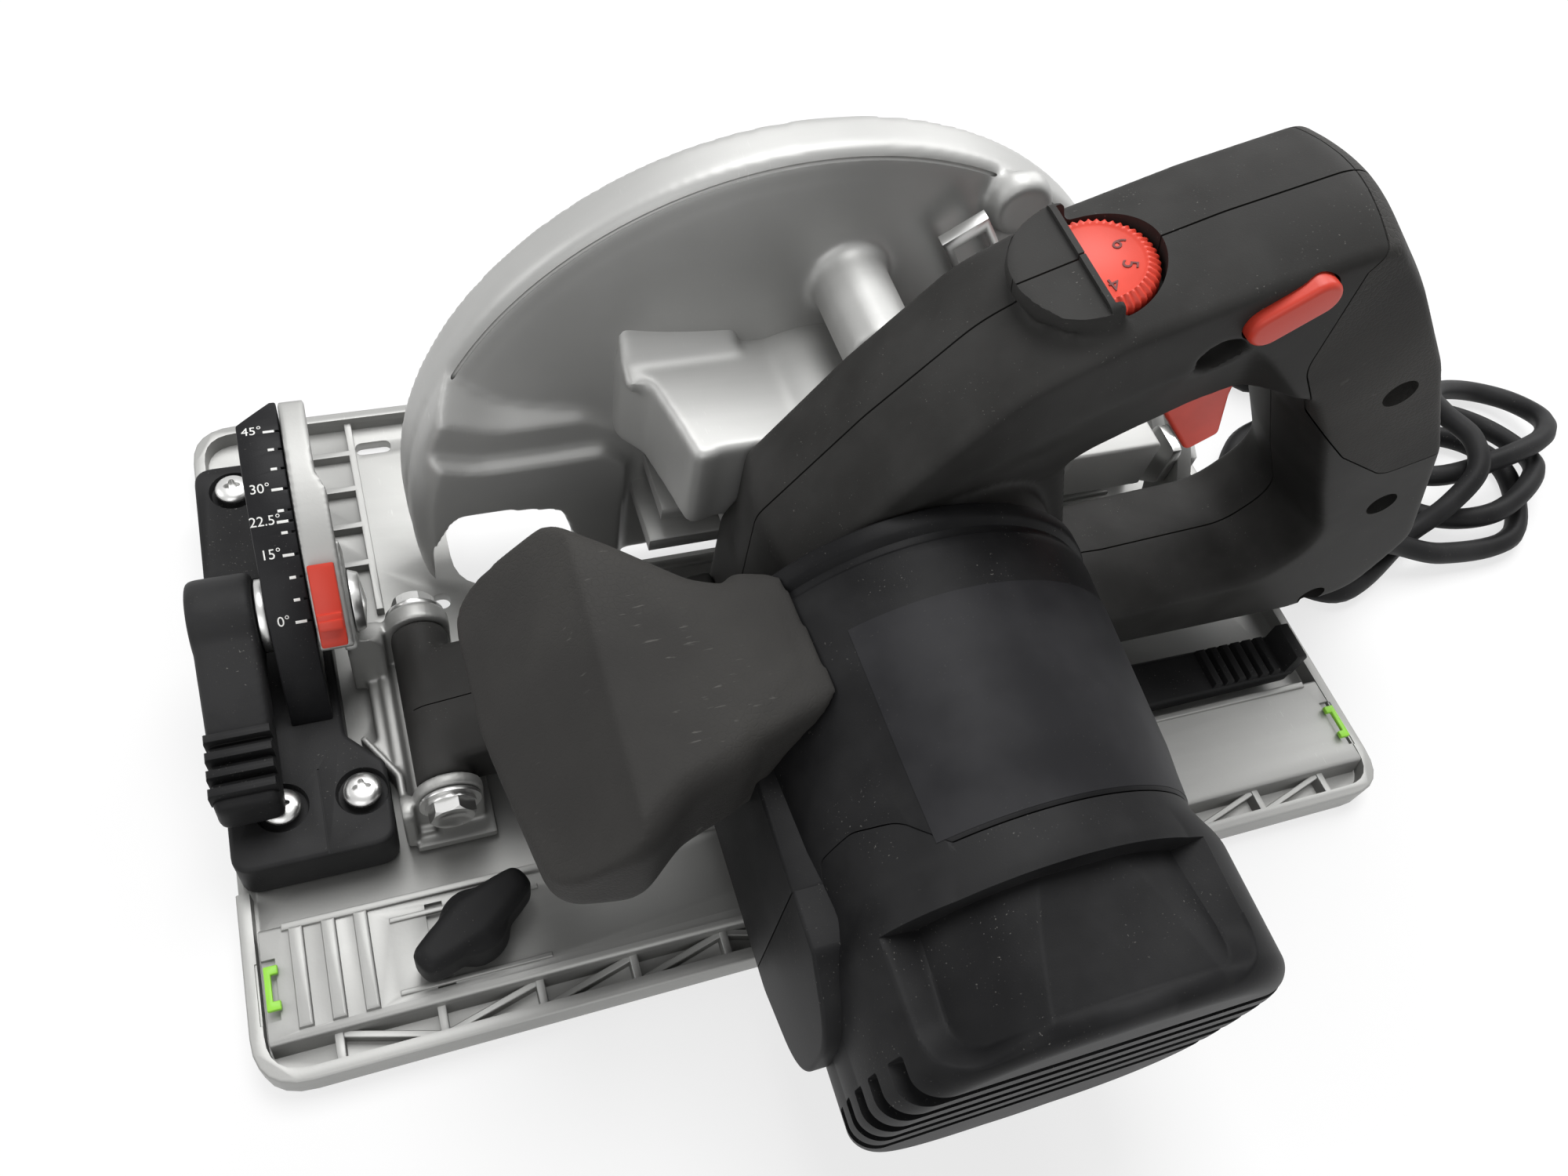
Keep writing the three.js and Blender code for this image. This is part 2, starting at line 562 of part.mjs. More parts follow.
// ---------------------------------------------------------------- handle
// Side view of the handle on its seam, in (x, z): the body over the motor, the grip and the lower bar.
const HANDLE_OUTLINE = [
  [-27, 24, 8], [-16, 14.5, 10], [46, 14.5, 20], [72, 17.5, 20], [140, 17.5, 12], [163, 22, 16],
  [170, 50, 18], [149, 93, 30], [124, 127, 30], [102, 151, 10], [84, 167.5, 10], [56, 159, 20],
  [30, 149, 20], [11, 137, 30], [-8, 113, 30], [-27, 84, 8],
];
const HANDLE_OPENING = [
  [43, 98, 9], [66, 113, 14], [86, 119, 10], [99, 103, 16], [112, 80, 20], [126, 58, 14],
  [116, 45, 12], [78, 42, 10], [62, 43, 9], [54, 68, 14],
];
const HANDLE_SCREWS = [[114, 118], [141, 71], [146, 26]];

// The grip and the top are crowned towards the seam; the part against the motor keeps square edges.
function handleBody() {
  const shape = outline(HANDLE_OUTLINE);
  shape.holes.push(outline(HANDLE_OPENING, 0, THREE.Path));
  const square = alongY(outline([
    [-27, 24, 8], [-16, 14.5, 10], [44, 14.5, 12], [44, 90], [-14, 104], [-27, 84, 8],
  ]), HANDLE.near, HANDLE.far, 1.5);
  const lean = radians(DIAL.slope);
  const hood = rod("z", 15, 0, 4.6, [0, 0], 14, 24).scale(1, 1.05, 1);
  hood.rotateY(-lean).translate(DIAL.x - 1, HANDLE.seam, DIAL.z + 2.6);
  return join(alongY(shape, HANDLE.near, HANDLE.far, HANDLE.edge, 3, HANDLE.crown), square, hood);
}

function handleHollows() {
  const lean = radians(DIAL.slope);
  const half = DIAL.thick / 2;
  const bore = DIAL.radius + 0.8;
  const dialPocket = rod("z", bore, -half - GAP, half + GAP, [0, 0], bore, 24);
  dialPocket.rotateY(-lean).translate(DIAL.x, HANDLE.seam, DIAL.z);
  const dialOpening = common(rod("z", bore, -half, 30, [0, 0], bore, 24), box(0, 40, -40, 40, -half, 30));
  dialOpening.rotateY(-lean).translate(DIAL.x, HANDLE.seam, DIAL.z);
  return [
    rod("y", 22, HANDLE.near - 1, HANDLE.far + 1, axis, 22, 24), // tunnel for the motor shaft
    rod("y", 26, -37, -27, axis, 26, 24), // fan chamber
    box(60, 96, -30, -10, 127, 148), // switch
    alongY(outline([[57, 100], [57, 130], [82, 130], [90, 100]]), -27, -13), // trigger
    dialPocket,
    dialOpening,
    rod("z", 4, DIAL.z - 14, DIAL.z, [DIAL.x + 3, HANDLE.seam], 4, 16),
    alongY(lockShape(GAP + 0.2), HANDLE.near - 1, -28),
    ...HANDLE_SCREWS.map(([x, z]) => rod("y", 4, HANDLE.near - 1, -30, [x, z], 4, 16)),
    ...HANDLE_SCREWS.map(([x, z]) => rod("y", 2.2, -31, -12, [x, z], 2.2, 12)),
    reliefShape(0.4),
  ];
}

// Lock-off button: a long rounded key that lies along the top edge of the grip.
const LOCK = { x: 64.5, z: 151 };
function lockShape(clearance) {
  const angle = radians(38);
  const shape = new THREE.Shape();
  const reach = 5.2;
  const radius = 4.3 + clearance;
  const { x, z } = LOCK;
  const [dx, dz] = [reach * Math.cos(angle), reach * Math.sin(angle)];
  shape.absarc(x + dx, z + dz, radius, angle - Math.PI / 2, angle + Math.PI / 2, false);
  shape.absarc(x - dx, z - dz, radius, angle + Math.PI / 2, angle + (3 * Math.PI) / 2, false);
  shape.closePath();
  return shape;
}

// Strain relief: a tapered rubber sleeve that leaves the foot of the grip and bends the cord gently.
const RELIEF = { x: 158, z: 31, length: 34, slope: 26 };
function reliefShape(clearance) {
  const sleeve = rod("x", 7 + clearance, -6, RELIEF.length, [0, 0], 5.2 + clearance, 20);
  return sleeve.rotateY(radians(RELIEF.slope)).translate(RELIEF.x, HANDLE.seam, RELIEF.z);
}

const whole = cut(handleBody(), ...handleHollows());
const gripRegion = outline([
  [79, 175], [76, 150], [80, 132, 14], [96, 108, 10], [118, 84, 10], [134, 79, 8], [180, 79], [180, 175],
]);
const gripBlock = (clearance) => {
  const block = alongY(gripRegion, -60, 20, 0, 6);
  return clearance ? block.translate(clearance, 0, clearance) : block;
};
const shells = cut(whole, gripBlock(0));
const nearSide = box(-200, 300, -80, HANDLE.seam - GAP / 2, -50, 300);
const farSide = box(-200, 300, HANDLE.seam + GAP / 2, 60, -50, 300);
piece(body, "handle_near_half", common(shells, nearSide), BLACK);
piece(body, "handle_far_half", common(shells, farSide), BLACK);
piece(body, "grip_cover", common(whole, gripBlock(GAP)), GRIP);

HANDLE_SCREWS.forEach(([x, z], i) => {
  const screw = join(rod("y", 3.6, -33, -30.3, [x, z], 3.6, 16), rod("y", 1.8, -31, -13, [x, z], 1.8, 12));
  piece(body, "handle_screw_" + (i + 1), screw, STEEL);
});

// Front handle: a wide bar across the front on a neck that grows out of the motor housing.
function frontHandle() {
  const plan = outline([
    [-28.3, -43], [-47, -36, 12], [-60, -25, 14], [-72, -17, 10], [-94, -20, 12], [-93, -52, 60],
    [-87, -90, 9], [-70, -92, 9], [-61, -85, 12], [-50, -80, 12], [-28, -68],
  ]);
  const bar = alongZ(plan, 62, 93, 7, 3);
  const slope = outline([[-110, 60], [-110, 120], [-66, 120], [-69, 92], [-98, 64]]);
  return cut(
    join(bar, box(-44, -14, -66, -45, 72, 90)),
    alongY(slope, -120, 20),
    rod("y", BARREL.farRadius + GAP, -110, HANDLE.near - 0.2, axis, BARREL.farRadius + GAP, 48),
    box(-27.3, 0, HANDLE.near - GAP, 20, 40, 120),
  );
}
piece(body, "front_handle", frontHandle(), GRIP);

// Arm from the hinge barrel to the lower front of the handle.
const arm = join(
  rod("y", HINGE.radius, HINGE.near, HINGE.far, [PIVOT.x, PIVOT.z]),
  alongY(outline([
    [-100, 13.5], [-100, 26.9], [-80, 30], [-27.3, 40], [-27.3, 20], [-80, 13.5],
  ]), -35, -3, 1.5),
);
piece(body, "hinge_arm", cut(arm, rod("y", BOLT_RADIUS, -50, 20, [PIVOT.x, PIVOT.z])), BLACK);

// ---------------------------------------------------------------- controls
piece(body, "switch_body", box(62, 94, -28, -12, 133, 146), BLACK);

const TRIGGER_PIVOT = { x: 60, z: 126 };
const trigger = outline([
  [61, 128, 2], [62, 111, 8], [76, 91, 2], [83, 93.5, 2], [80, 110, 8], [77, 128, 2],
]);
piece(assembly(body, TRIGGER_PIVOT.x, 0, TRIGGER_PIVOT.z), "trigger", alongY(trigger, -26, -14, 1.2), RED);

const lockButton = alongY(lockShape(0), HANDLE.near - 2.6, -31, 1);
piece(assembly(body, LOCK.x, HANDLE.near, LOCK.z), "lock_button", lockButton, RED);

function speedDial() {
  const teeth = 30;
  const shape = new THREE.Shape(
    Array.from({ length: teeth * 2 }, (_, i) => {
      const radius = DIAL.radius - (i % 2 ? 0.7 : 0);
      const turn = (Math.PI * i) / teeth;
      return new THREE.Vector2(radius * Math.cos(turn), radius * Math.sin(turn));
    }),
  );
  const wheel = join(
    alongZ(shape, -DIAL.thick / 2 + 0.2, DIAL.thick / 2 - 0.6),
    rod("z", DIAL.radius - 2.4, 0, DIAL.thick / 2, [0, 0], DIAL.radius - 3),
  );
  return wheel.rotateY(-radians(DIAL.slope)).translate(DIAL.x, HANDLE.seam, DIAL.z);
}
piece(assembly(body, DIAL.x, HANDLE.seam, DIAL.z), "speed_dial", speedDial(), RED);

const DEPTH_CLAMP = { x: PIVOT.x + DEPTH_RADIUS * cosine(-3.1), z: PIVOT.z + DEPTH_RADIUS * sine(-3.1) };
const clamp = [DEPTH_CLAMP.x, DEPTH_CLAMP.z];
const depthBolt = join(
  rod("y", 3.8, -54.5, GUARD.near - GAP, clamp, 3.8, 20),
  rod("y", 6, 31, GUARD.near - GAP, clamp, 6, 20),
);
piece(body, "depth_bolt", depthBolt, STEEL);
const nut = cut(rod("y", 6.3, 20, DEPTH_GUIDE.near - GAP, clamp, 6.3, 6), rod("y", 4.1, 10, 40, clamp));
piece(body, "depth_nut", nut, STEEL);

// Depth lever: hub on the clamp bolt and a flat ribbed thumb plate with a turned-up end.
function depthLever() {
  const blade = outline([[60, -55.5], [140, -55, 4], [140, -42, 4], [60, -41]]);
  const ribs = [118, 122.5, 127, 131.5].map((x) => box(x - 1, x + 1, -54, -43, 11.5, 14));
  const lever = join(
    rod("y", 7.2, -55.7, -41, clamp),
    alongZ(blade, 7, 12, 1),
    ...ribs,
    box(135.5, 139, -54, -43, 8, 20),
  );
  return cut(lever, rod("y", 4.1, -70, -20, clamp));
}
piece(assembly(body, DEPTH_CLAMP.x, 0, DEPTH_CLAMP.z), "depth_lever", depthLever(), BLACK);

// ---------------------------------------------------------------- cord
piece(body, "strain_relief", reliefShape(0), RUBBER);

// Route of the free cord: out of the strain relief, round in loose loops behind the grip, and back to the
// coil that lies beyond them.
const CORD_ROUTE = [
  [189.8, -20, 15.4], [199, -20.6, 12], [220, -24.2, 6], [254, -21.5, 4], [269, 3, 4], [263, 16, 4],
  [248, 23.5, 4], [231, 21.5, 4], [219, 11, 4], [220, -3, 4], [230, -12, 6.4], [246, -15.5, 10.6],
  [272, -3, 11.3], [278, 9, 7], [274, 23, 4], [260, 32.5, 4], [226, 33, 9], [214, 22, 11.4],
  [218, 7.5, 12.2], [231, 1, 12.8], [267, 2.5, 18], [282, 8.5, 16], [292, 19, 10.5], [290.5, 31, 6],
  [279, 39, 4.6], [250, 33, 14.5], [243, 20, 20], [244, 7, 22], [239, -4, 20.6], [227, -11, 14],
  [213, -14.5, 5.2], [175, -29, 4], [159.5, -16, 4], [159, 12, 4], [174, 33, 4], [204.6, 41.6, 4],
];

// The cord's end leaves the top turn of the coil and comes down to the plug on the floor beside it.
const TAIL_ROUTE = [[180, 128.9, 24.4], [170, 125.6, 22], [160, 123.4, 19.2], [150, 123, 19]];

function tube(points, steps) {
  const route = new THREE.CatmullRomCurve3(points.map((p) => new THREE.Vector3(...p)));
  const section = new THREE.Shape();
  section.absarc(0, 0, CORD_RADIUS, 0, 2 * Math.PI, false);
  return new THREE.ExtrudeGeometry(section, { extrudePath: route, steps, curveSegments: 4 });
}
piece(body, "cord", toGeometry(toSolid(tube(CORD_ROUTE, 66))), RUBBER);
piece(body, "cord_tail", toGeometry(toSolid(tube(TAIL_ROUTE, 5))), RUBBER);
piece(body, "cord_coil", ring("z", COIL.inner, COIL.outer, GAP, COIL.height, [COIL.x, COIL.y], 32), RUBBER);

// Mains plug: a moulded body with a tapered nose, two round pins and an earth slot each side.
const PLUG = { x: 149.8, y: 123, z: 19, turn: 180 };
function mainsPlug() {
  const shell = join(
    turned("x", [
      [0, GAP], [5, GAP], [6.5, 16], [14, 24], [18.5, 30], [18.5, 52], [17.5, 53.5], [0, 53.5],
    ], [0, 0], 24),
    rod("x", 2.4, 53, 72, [9.5, 0], 2.2, 10),
    rod("x", 2.4, 53, 72, [-9.5, 0], 2.2, 10),
  );
  const slot = (side) => box(40, 60, -3, 3, side > 0 ? 16.5 : -20, side > 0 ? 20 : -16.5);
  return cut(shell, slot(1), slot(-1)).rotateZ(radians(PLUG.turn)).translate(PLUG.x, PLUG.y, PLUG.z);
}
piece(body, "mains_plug", mainsPlug(), RUBBER);

export default saw;
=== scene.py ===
# %% [markdown]
# # A hand-held circular saw
# The saw stands on its die-cast sole at full cutting depth. Its moving frame comes from the CAD part, and
# this lesson dresses it: every visible piece is modelled again with smooth surfaces, real edges and seams,
# and gets a finish of its own. Sizes are written in millimetres, in the part's own frame: X runs to the rear,
# Y to the guard side, Z up, and the origin is the middle of the sole's underside.

import bmesh
import bpy
import numpy as np
from mathutils import Matrix


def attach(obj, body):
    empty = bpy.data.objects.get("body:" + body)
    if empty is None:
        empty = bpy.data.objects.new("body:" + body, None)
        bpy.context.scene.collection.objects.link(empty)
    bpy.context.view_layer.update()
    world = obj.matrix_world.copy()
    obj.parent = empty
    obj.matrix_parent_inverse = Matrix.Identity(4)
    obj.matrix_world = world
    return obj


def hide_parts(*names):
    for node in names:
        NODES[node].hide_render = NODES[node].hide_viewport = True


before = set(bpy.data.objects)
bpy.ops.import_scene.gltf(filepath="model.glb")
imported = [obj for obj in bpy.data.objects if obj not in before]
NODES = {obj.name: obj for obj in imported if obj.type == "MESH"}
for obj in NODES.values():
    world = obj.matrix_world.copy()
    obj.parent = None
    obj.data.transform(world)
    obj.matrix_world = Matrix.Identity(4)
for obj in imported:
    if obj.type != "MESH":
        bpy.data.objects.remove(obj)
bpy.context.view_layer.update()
MM = 0.001
print(len(NODES), "nodes from the CAD part")

# %% [markdown]
# ## Camera, light and floor
# The camera looks down at the front of the motor side, from above the front handle. Its place and its three
# directions were worked out from the sole's straight edges. A large soft light hangs over the guard side, so
# that top faces are bright and the faces towards the camera stay dark, as they are on the real saw.

# %% Camera
RIGHT = (0.9388725, -0.30546894, 0.15876762)
DOWN = (-0.17115062, -0.81430699, -0.55462744)
AHEAD = (0.29870704, 0.49355128, -0.81681163)
CAMERA_PLACE = (-106.2, -170.75, 301.38)
SENSOR_WIDTH, FOCAL_LENGTH = 36, 28.906
scene = bpy.context.scene


def placed(name, data):
    """A new object in the scene."""
    made = bpy.data.objects.new(name, data)
    scene.collection.objects.link(made)
    return made


def stance(directions, spot):
    """A matrix from three directions, given as columns, and a place."""
    matrix = np.eye(4)
    matrix[:3, :3], matrix[:3, 3] = directions, spot
    return Matrix(matrix.tolist())


camera_data = bpy.data.cameras.new("camera")
camera_data.sensor_width, camera_data.lens = SENSOR_WIDTH, FOCAL_LENGTH
camera_data.clip_start = 0.01
looking = np.array([RIGHT, np.negative(DOWN), np.negative(AHEAD)]).T
scene.camera = placed("camera", camera_data)
scene.camera.matrix_world = stance(looking, np.array(CAMERA_PLACE) * MM)
scene.view_settings.view_transform = "Standard"
print("camera at", CAMERA_PLACE)


# %% Lights
def soft_light(name, place, target, size, power):
    """A square area light of the given size in metres at place, facing target, both in metres."""
    data = bpy.data.lights.new(name, "AREA")
    data.size = size
    data.energy = power
    back = np.subtract(place, target)
    back = back / np.linalg.norm(back)
    side = np.cross((0, 0, 1), back)
    side = side / np.linalg.norm(side)
    placed(name, data).matrix_world = stance(np.array([side, np.cross(back, side), back]).T, place)


soft_light("overhead", (0.1, 0.45, 1.25), (0.02, 0, 0.05), 0.8, 15)
soft_light("front_left", (-1.1, 0.35, 0.7), (0, 0, 0.08), 0.6, 3)
soft_light("rear_right", (0.9, 0.6, 0.8), (0, 0, 0.08), 0.7, 6)
soft_light("near_front", (-0.5, -1.0, 0.8), (0, 0, 0.08), 0.9, 4)


# %% [markdown]
# ## A small language for finishes
# A finish is a tree of shader nodes. `Value` wraps one socket, so that a mask can be written as arithmetic,
# and `Finish` makes the nodes of one material.

# %% Shader maths
class Value:
    """A number that varies over a surface, with Python's operators."""

    def __init__(self, finish, socket):
        self.finish, self.socket = finish, socket

    def _math(self, operation, *others):
        return self.finish.node("ShaderNodeMath", dict(operation=operation), dict(enumerate((self, *others))))

    def __add__(self, other):
        return self._math("ADD", other)

    def __sub__(self, other):
        return self._math("SUBTRACT", other)

    def __rsub__(self, other):
        return (self * -1) + other

    def __mul__(self, other):
        return self._math("MULTIPLY", other)

    __radd__, __rmul__ = __add__, __mul__

    def ramp(self, low, high):
        """0 below low, 1 above high, and a smooth step between."""
        return self.finish.node("ShaderNodeMapRange", dict(interpolation_type="SMOOTHSTEP"),
                                {0: self, 1: low, 2: high})


class Finish:
    """One material round a Principled shader."""

    def __init__(self, name, **fixed):
        self.material = bpy.data.materials.new(name)
        self.material.use_nodes = True
        self.tree = self.material.node_tree
        self.shader = self.tree.nodes["Principled BSDF"]
        for socket, value in fixed.items():
            self.shader.inputs[socket.replace("_", " ")].default_value = value
        self.place = self.node("ShaderNodeTexCoord", {}, {}, "Object")

    def node(self, kind, settings, values, output=0):
        made = self.tree.nodes.new(kind)
        for key, value in settings.items():
            setattr(made, key, value)
        for key, value in values.items():
            if isinstance(value, Value):
                self.tree.links.new(value.socket, made.inputs[key])
            else:
                made.inputs[key].default_value = value
        return Value(self, made.outputs[output])

    def noise(self, scale, detail=2.0, stretch=(1, 1, 1)):
        """Cloudy noise between 0 and 1, with scale cells to a metre."""
        where = self.place
        if stretch != (1, 1, 1):
            where = self.node("ShaderNodeMapping", {}, {"Vector": self.place, "Scale": stretch})
        return self.node("ShaderNodeTexNoise", {}, {"Vector": where, "Scale": scale, "Detail": detail})

    def cells(self, scale):
        """Distance to the edge of the nearest cell, for grain."""
        settings = dict(feature="DISTANCE_TO_EDGE")
        return self.node("ShaderNodeTexVoronoi", settings, {"Vector": self.place, "Scale": scale})

    def blend(self, factor, first, second):
        """The first colour where factor is 0, the second where it is 1."""
        first, second = ((*c, 1) if isinstance(c, tuple) else c for c in (first, second))
        return self.node("ShaderNodeMix", dict(data_type="RGBA"), {"Factor": factor, 6: first, 7: second}, 2)

    def drive(self, socket, value):
        self.tree.links.new(value.socket, self.shader.inputs[socket])

    def bump(self, height, strength, distance):
        made = self.node("ShaderNodeBump", {}, {"Height": height, "Strength": strength, "Distance": distance})
        self.drive("Normal", made)


# %% [markdown]
# ## Finishes
# Moulded plastic is never one flat colour: a fine spark-eroded texture breaks its gloss up, dust sits in it,
# and handled places shine more. Cast alloy has a tighter grain, with slow changes of tone. The grip's
# overmould has a leather grain. Each finish below is built from those causes.


# %% Finishes of the plastics
def moulded(name, colour, rough, gloss=0.2, grain=2600, dust=0.35, depth=0.00006):
    """Moulded plastic: fine grain in the bump, slow patches in the gloss, and pale specks of dust."""
    finish = Finish(name, Specular_IOR_Level=gloss)
    patches = finish.noise(38, 4)
    specks = finish.noise(1900, 1).ramp(0.70, 0.78) * finish.noise(90, 2).ramp(0.45, 0.7)
    light = tuple(min(1.0, c * 1.35 + 0.012) for c in colour)
    tone = finish.blend(patches.ramp(0.35, 0.75), colour, light)
    finish.drive("Base Color", finish.blend(specks * dust, tone, (0.34, 0.33, 0.31)))
    finish.drive("Roughness", patches * 0.16 + (rough - 0.08) + specks * 0.2)
    finish.bump(finish.noise(grain, 2), 0.35, depth)
    return finish.material


HOUSING = moulded("housing_plastic", (0.0075, 0.0075, 0.008), 0.46, 0.07)
# Painted light: handle_plastic is the housing's black plastic again, with a lighter base colour that stands
# in for the sheen light gives the handle's top.
HANDLE_SHELL = moulded("handle_plastic", (0.021, 0.0205, 0.0196), 0.55, 0.1, grain=3200)
BLOCK = moulded("block_plastic", (0.012, 0.012, 0.0125), 0.5, 0.1)
SCALE_PLATE = moulded("scale_plastic", (0.010, 0.010, 0.011), 0.42, 0.1, dust=0.15)
LABEL = moulded("label_film", (0.012, 0.012, 0.0135), 0.5, 0.09, grain=5200, dust=0.1, depth=0.00001)
CORD_RUBBER = moulded("cord_rubber", (0.010, 0.010, 0.0105), 0.5, 0.1, grain=4200, dust=0.3)
RED = moulded("control_red", (0.58, 0.047, 0.026), 0.42, 0.35, dust=0.1, depth=0.00003)
GREEN = moulded("clip_green", (0.27, 0.62, 0.05), 0.42, 0.35, dust=0.1)
MARKS = moulded("scale_marks", (0.72, 0.72, 0.7), 0.5, 0.3, dust=0.0)
DIAL_MARKS = moulded("dial_marks", (0.10, 0.012, 0.01), 0.5, 0.3, dust=0.0)


def soft_grip():
    """Overmoulded rubber: leather grain on the top, worn smoother where the palm rubs, and pale marks."""
    finish = Finish("soft_grip", Specular_IOR_Level=0.1)
    patches = finish.noise(30, 4)
    worn = finish.noise(14, 3).ramp(0.42, 0.62)
    creases = finish.cells(760).ramp(0.0, 0.16)
    marks = finish.noise(240, 3, (1, 5, 1)).ramp(0.66, 0.74) * finish.noise(26, 1).ramp(0.5, 0.62)
    tone = finish.blend(patches.ramp(0.3, 0.8), (0.030, 0.029, 0.028), (0.046, 0.0445, 0.042))
    tone = finish.blend(marks * 0.35, tone, (0.16, 0.155, 0.145))
    finish.drive("Base Color", tone)
    finish.drive("Roughness", 0.66 - worn * 0.1 + patches * 0.06)
    grain = creases * (0.35 + worn * 0.65) + finish.noise(2400, 2) * 0.5
    finish.bump(grain, 0.4, 0.00014)
    return finish.material


SOFT_GRIP = soft_grip()


# %% Finishes of the metals
def cast(name, colour, rough, metal, grain=1500, depth=0.00005):
    """Satin alloy: fine casting grain, slow changes of tone, faint flow streaks and small scuffs."""
    finish = Finish(name, Specular_IOR_Level=0.5)
    patches = finish.noise(22, 5)
    streaks = finish.noise(60, 3, (0.4, 3, 1)).ramp(0.35, 0.75)
    scuffs = finish.noise(420, 2, (6, 0.6, 1)).ramp(0.68, 0.74) * finish.noise(20, 2).ramp(0.5, 0.65)
    dark = tuple(c * 0.84 for c in colour)
    tone = finish.blend(patches.ramp(0.3, 0.75) * 0.6 + streaks * 0.25, dark, colour)
    finish.drive("Base Color", finish.blend(scuffs * 0.4, tone, tuple(min(1.0, c * 1.25) for c in colour)))
    finish.drive("Metallic", metal - patches * 0.1)
    finish.drive("Roughness", rough + patches * 0.1 - scuffs * 0.1)
    finish.bump(finish.noise(grain, 2), 0.3, depth)
    return finish.material


SOLE_CAST = cast("die_cast", (0.36, 0.36, 0.35), 0.45, 0.7)
GUARD_CAST = cast("guard_cast", (0.46, 0.46, 0.45), 0.42, 0.5, grain=2400, depth=0.00003)
BRIGHT_STEEL = cast("bright_steel", (0.62, 0.62, 0.61), 0.24, 1.0, grain=900, depth=0.00002)
DARK_STEEL = cast("dark_steel", (0.16, 0.16, 0.165), 0.42, 1.0)
COPPER = cast("copper", (0.55, 0.25, 0.12), 0.35, 1.0)
IRON = cast("laminated_iron", (0.12, 0.12, 0.13), 0.5, 0.8)
print(len(bpy.data.materials), "materials so far")


# %% Floor and backdrop
FLOOR_HALF, FLOOR_TOP, FLOOR_GLOW = 4.0, -0.0002, 0.72
SKY_STRENGTH = 0.22


def plain_view(tree):
    """1 for rays from the camera and for those that a mirror or glass sends on, 0 for the light itself."""
    path = tree.nodes.new("ShaderNodeLightPath")
    total = path.outputs["Is Camera Ray"]
    for kind in ("Is Glossy Ray", "Is Transmission Ray"):
        either = tree.nodes.new("ShaderNodeMath")
        either.operation = "MAXIMUM"
        tree.links.new(total, either.inputs[0])
        tree.links.new(path.outputs[kind], either.inputs[1])
        total = either.outputs[0]
    return total


def mixed(tree, share, first, second, target):
    """Sends a mix of two shaders to the tree's output: the first where share is 0, the second where it is
    1."""
    mix = tree.nodes.new("ShaderNodeMixShader")
    for source, socket in zip((share, first, second), mix.inputs):
        tree.links.new(source, socket)
    tree.links.new(mix.outputs[0], tree.nodes[target].inputs[0])


def pale_ground():
    """A pale floor that the camera sees almost white, while it still takes the saw's soft shadow."""
    finish = Finish("floor", Base_Color=(0.9, 0.9, 0.9, 1), Roughness=0.9)
    white = finish.tree.nodes.new("ShaderNodeEmission")
    share = Value(finish, plain_view(finish.tree)) * FLOOR_GLOW
    mixed(finish.tree, share.socket, finish.shader.outputs[0], white.outputs[0], "Material Output")
    return finish.material


def white_world():
    """A white backdrop for the eye and for reflections, and a dim even sky for the light."""
    world = bpy.data.worlds.new("studio")
    world.use_nodes = True
    tree = world.node_tree
    sky = tree.nodes["Background"]
    sky.inputs[1].default_value = SKY_STRENGTH
    backdrop = tree.nodes.new("ShaderNodeBackground")
    for source in (sky, backdrop):
        source.inputs[0].default_value = (1, 1, 1, 1)
    mixed(tree, plain_view(tree), sky.outputs[0], backdrop.outputs[0], "World Output")
    scene.world = world


white_world()
floor_mesh = bpy.data.meshes.new("floor")
corners = np.array([(-1, -1, 0), (1, -1, 0), (1, 1, 0), (-1, 1, 0)]) * FLOOR_HALF + (0, 0, FLOOR_TOP)
floor_mesh.from_pydata(corners.tolist(), [], [(0, 1, 2, 3)])
floor_mesh.materials.append(pale_ground())
placed("floor", floor_mesh)


# %% [markdown]
# ## Surfaces from arrays
# Every new piece starts as an array of points. A *skin* joins a grid of closed rings into quads, with a cap
# at each end. Two shapes do most of the work: a turned profile, and a rounded outline carried along an axis
# with its rims rounded over.

# %% Grids into meshes
def skin(grid, caps=True):
    """Faces over a grid of closed rings: point (i, j) joins (i, j+1), (i+1, j+1) and (i+1, j). With caps the
    first and last rings are closed by one face each."""
    rings, sides = grid.shape[:2]
    index = np.arange(rings * sides).reshape(rings, sides)
    across = np.roll(index, -1, axis=1)
    quads = np.stack([index[:-1], across[:-1], across[1:], index[1:]], axis=-1).reshape(-1, 4).tolist()
    if caps:
        quads += [index[0][::-1].tolist(), index[-1].tolist()]
    return grid.reshape(-1, 3), quads


def solid(name, points, faces):
    """A mesh object in metres from points in millimetres, with its doubles merged and its faces outward."""
    mesh = bpy.data.meshes.new(name)
    mesh.from_pydata((np.asarray(points) * MM).tolist(), [], faces)
    tidy(mesh)
    return placed(name, mesh)


def tidy(mesh, gap=0.00001):
    """Merges doubles and turns every face outward."""
    work = bmesh.new()
    work.from_mesh(mesh)
    bmesh.ops.remove_doubles(work, verts=work.verts, dist=gap)
    bmesh.ops.recalc_face_normals(work, faces=work.faces)
    work.to_mesh(mesh)
    work.free()


# %% Profiles and outlines
ORDER = {"x": (1, 2, 0), "y": (0, 2, 1), "z": (0, 1, 2)}


def place(first, second, along, axis):
    """Points from two coordinates across an axis and one along it: (y, z) about x, (x, z) about y, (x, y)
    about z."""
    out = np.empty((*np.broadcast(first, second, along).shape, 3))
    for value, column in zip((first, second, along), ORDER[axis]):
        out[..., column] = value
    return out


def turned(name, axis, centre, profile, sides=72):
    """A turned piece: each (radius, along) point of the profile swept round the axis, x = a + r cos t and
    y = b + r sin t. The profile starts and ends on the axis, or comes back to its first point."""
    radius, along = np.array(profile, float).T
    turn = np.linspace(0, 2 * np.pi, sides, endpoint=False)
    grid = place(
        centre[0] + radius[:, None] * np.cos(turn),
        centre[1] + radius[:, None] * np.sin(turn),
        along[:, None] + 0 * turn,
        axis,
    )
    return solid(name, *skin(grid, caps=False))


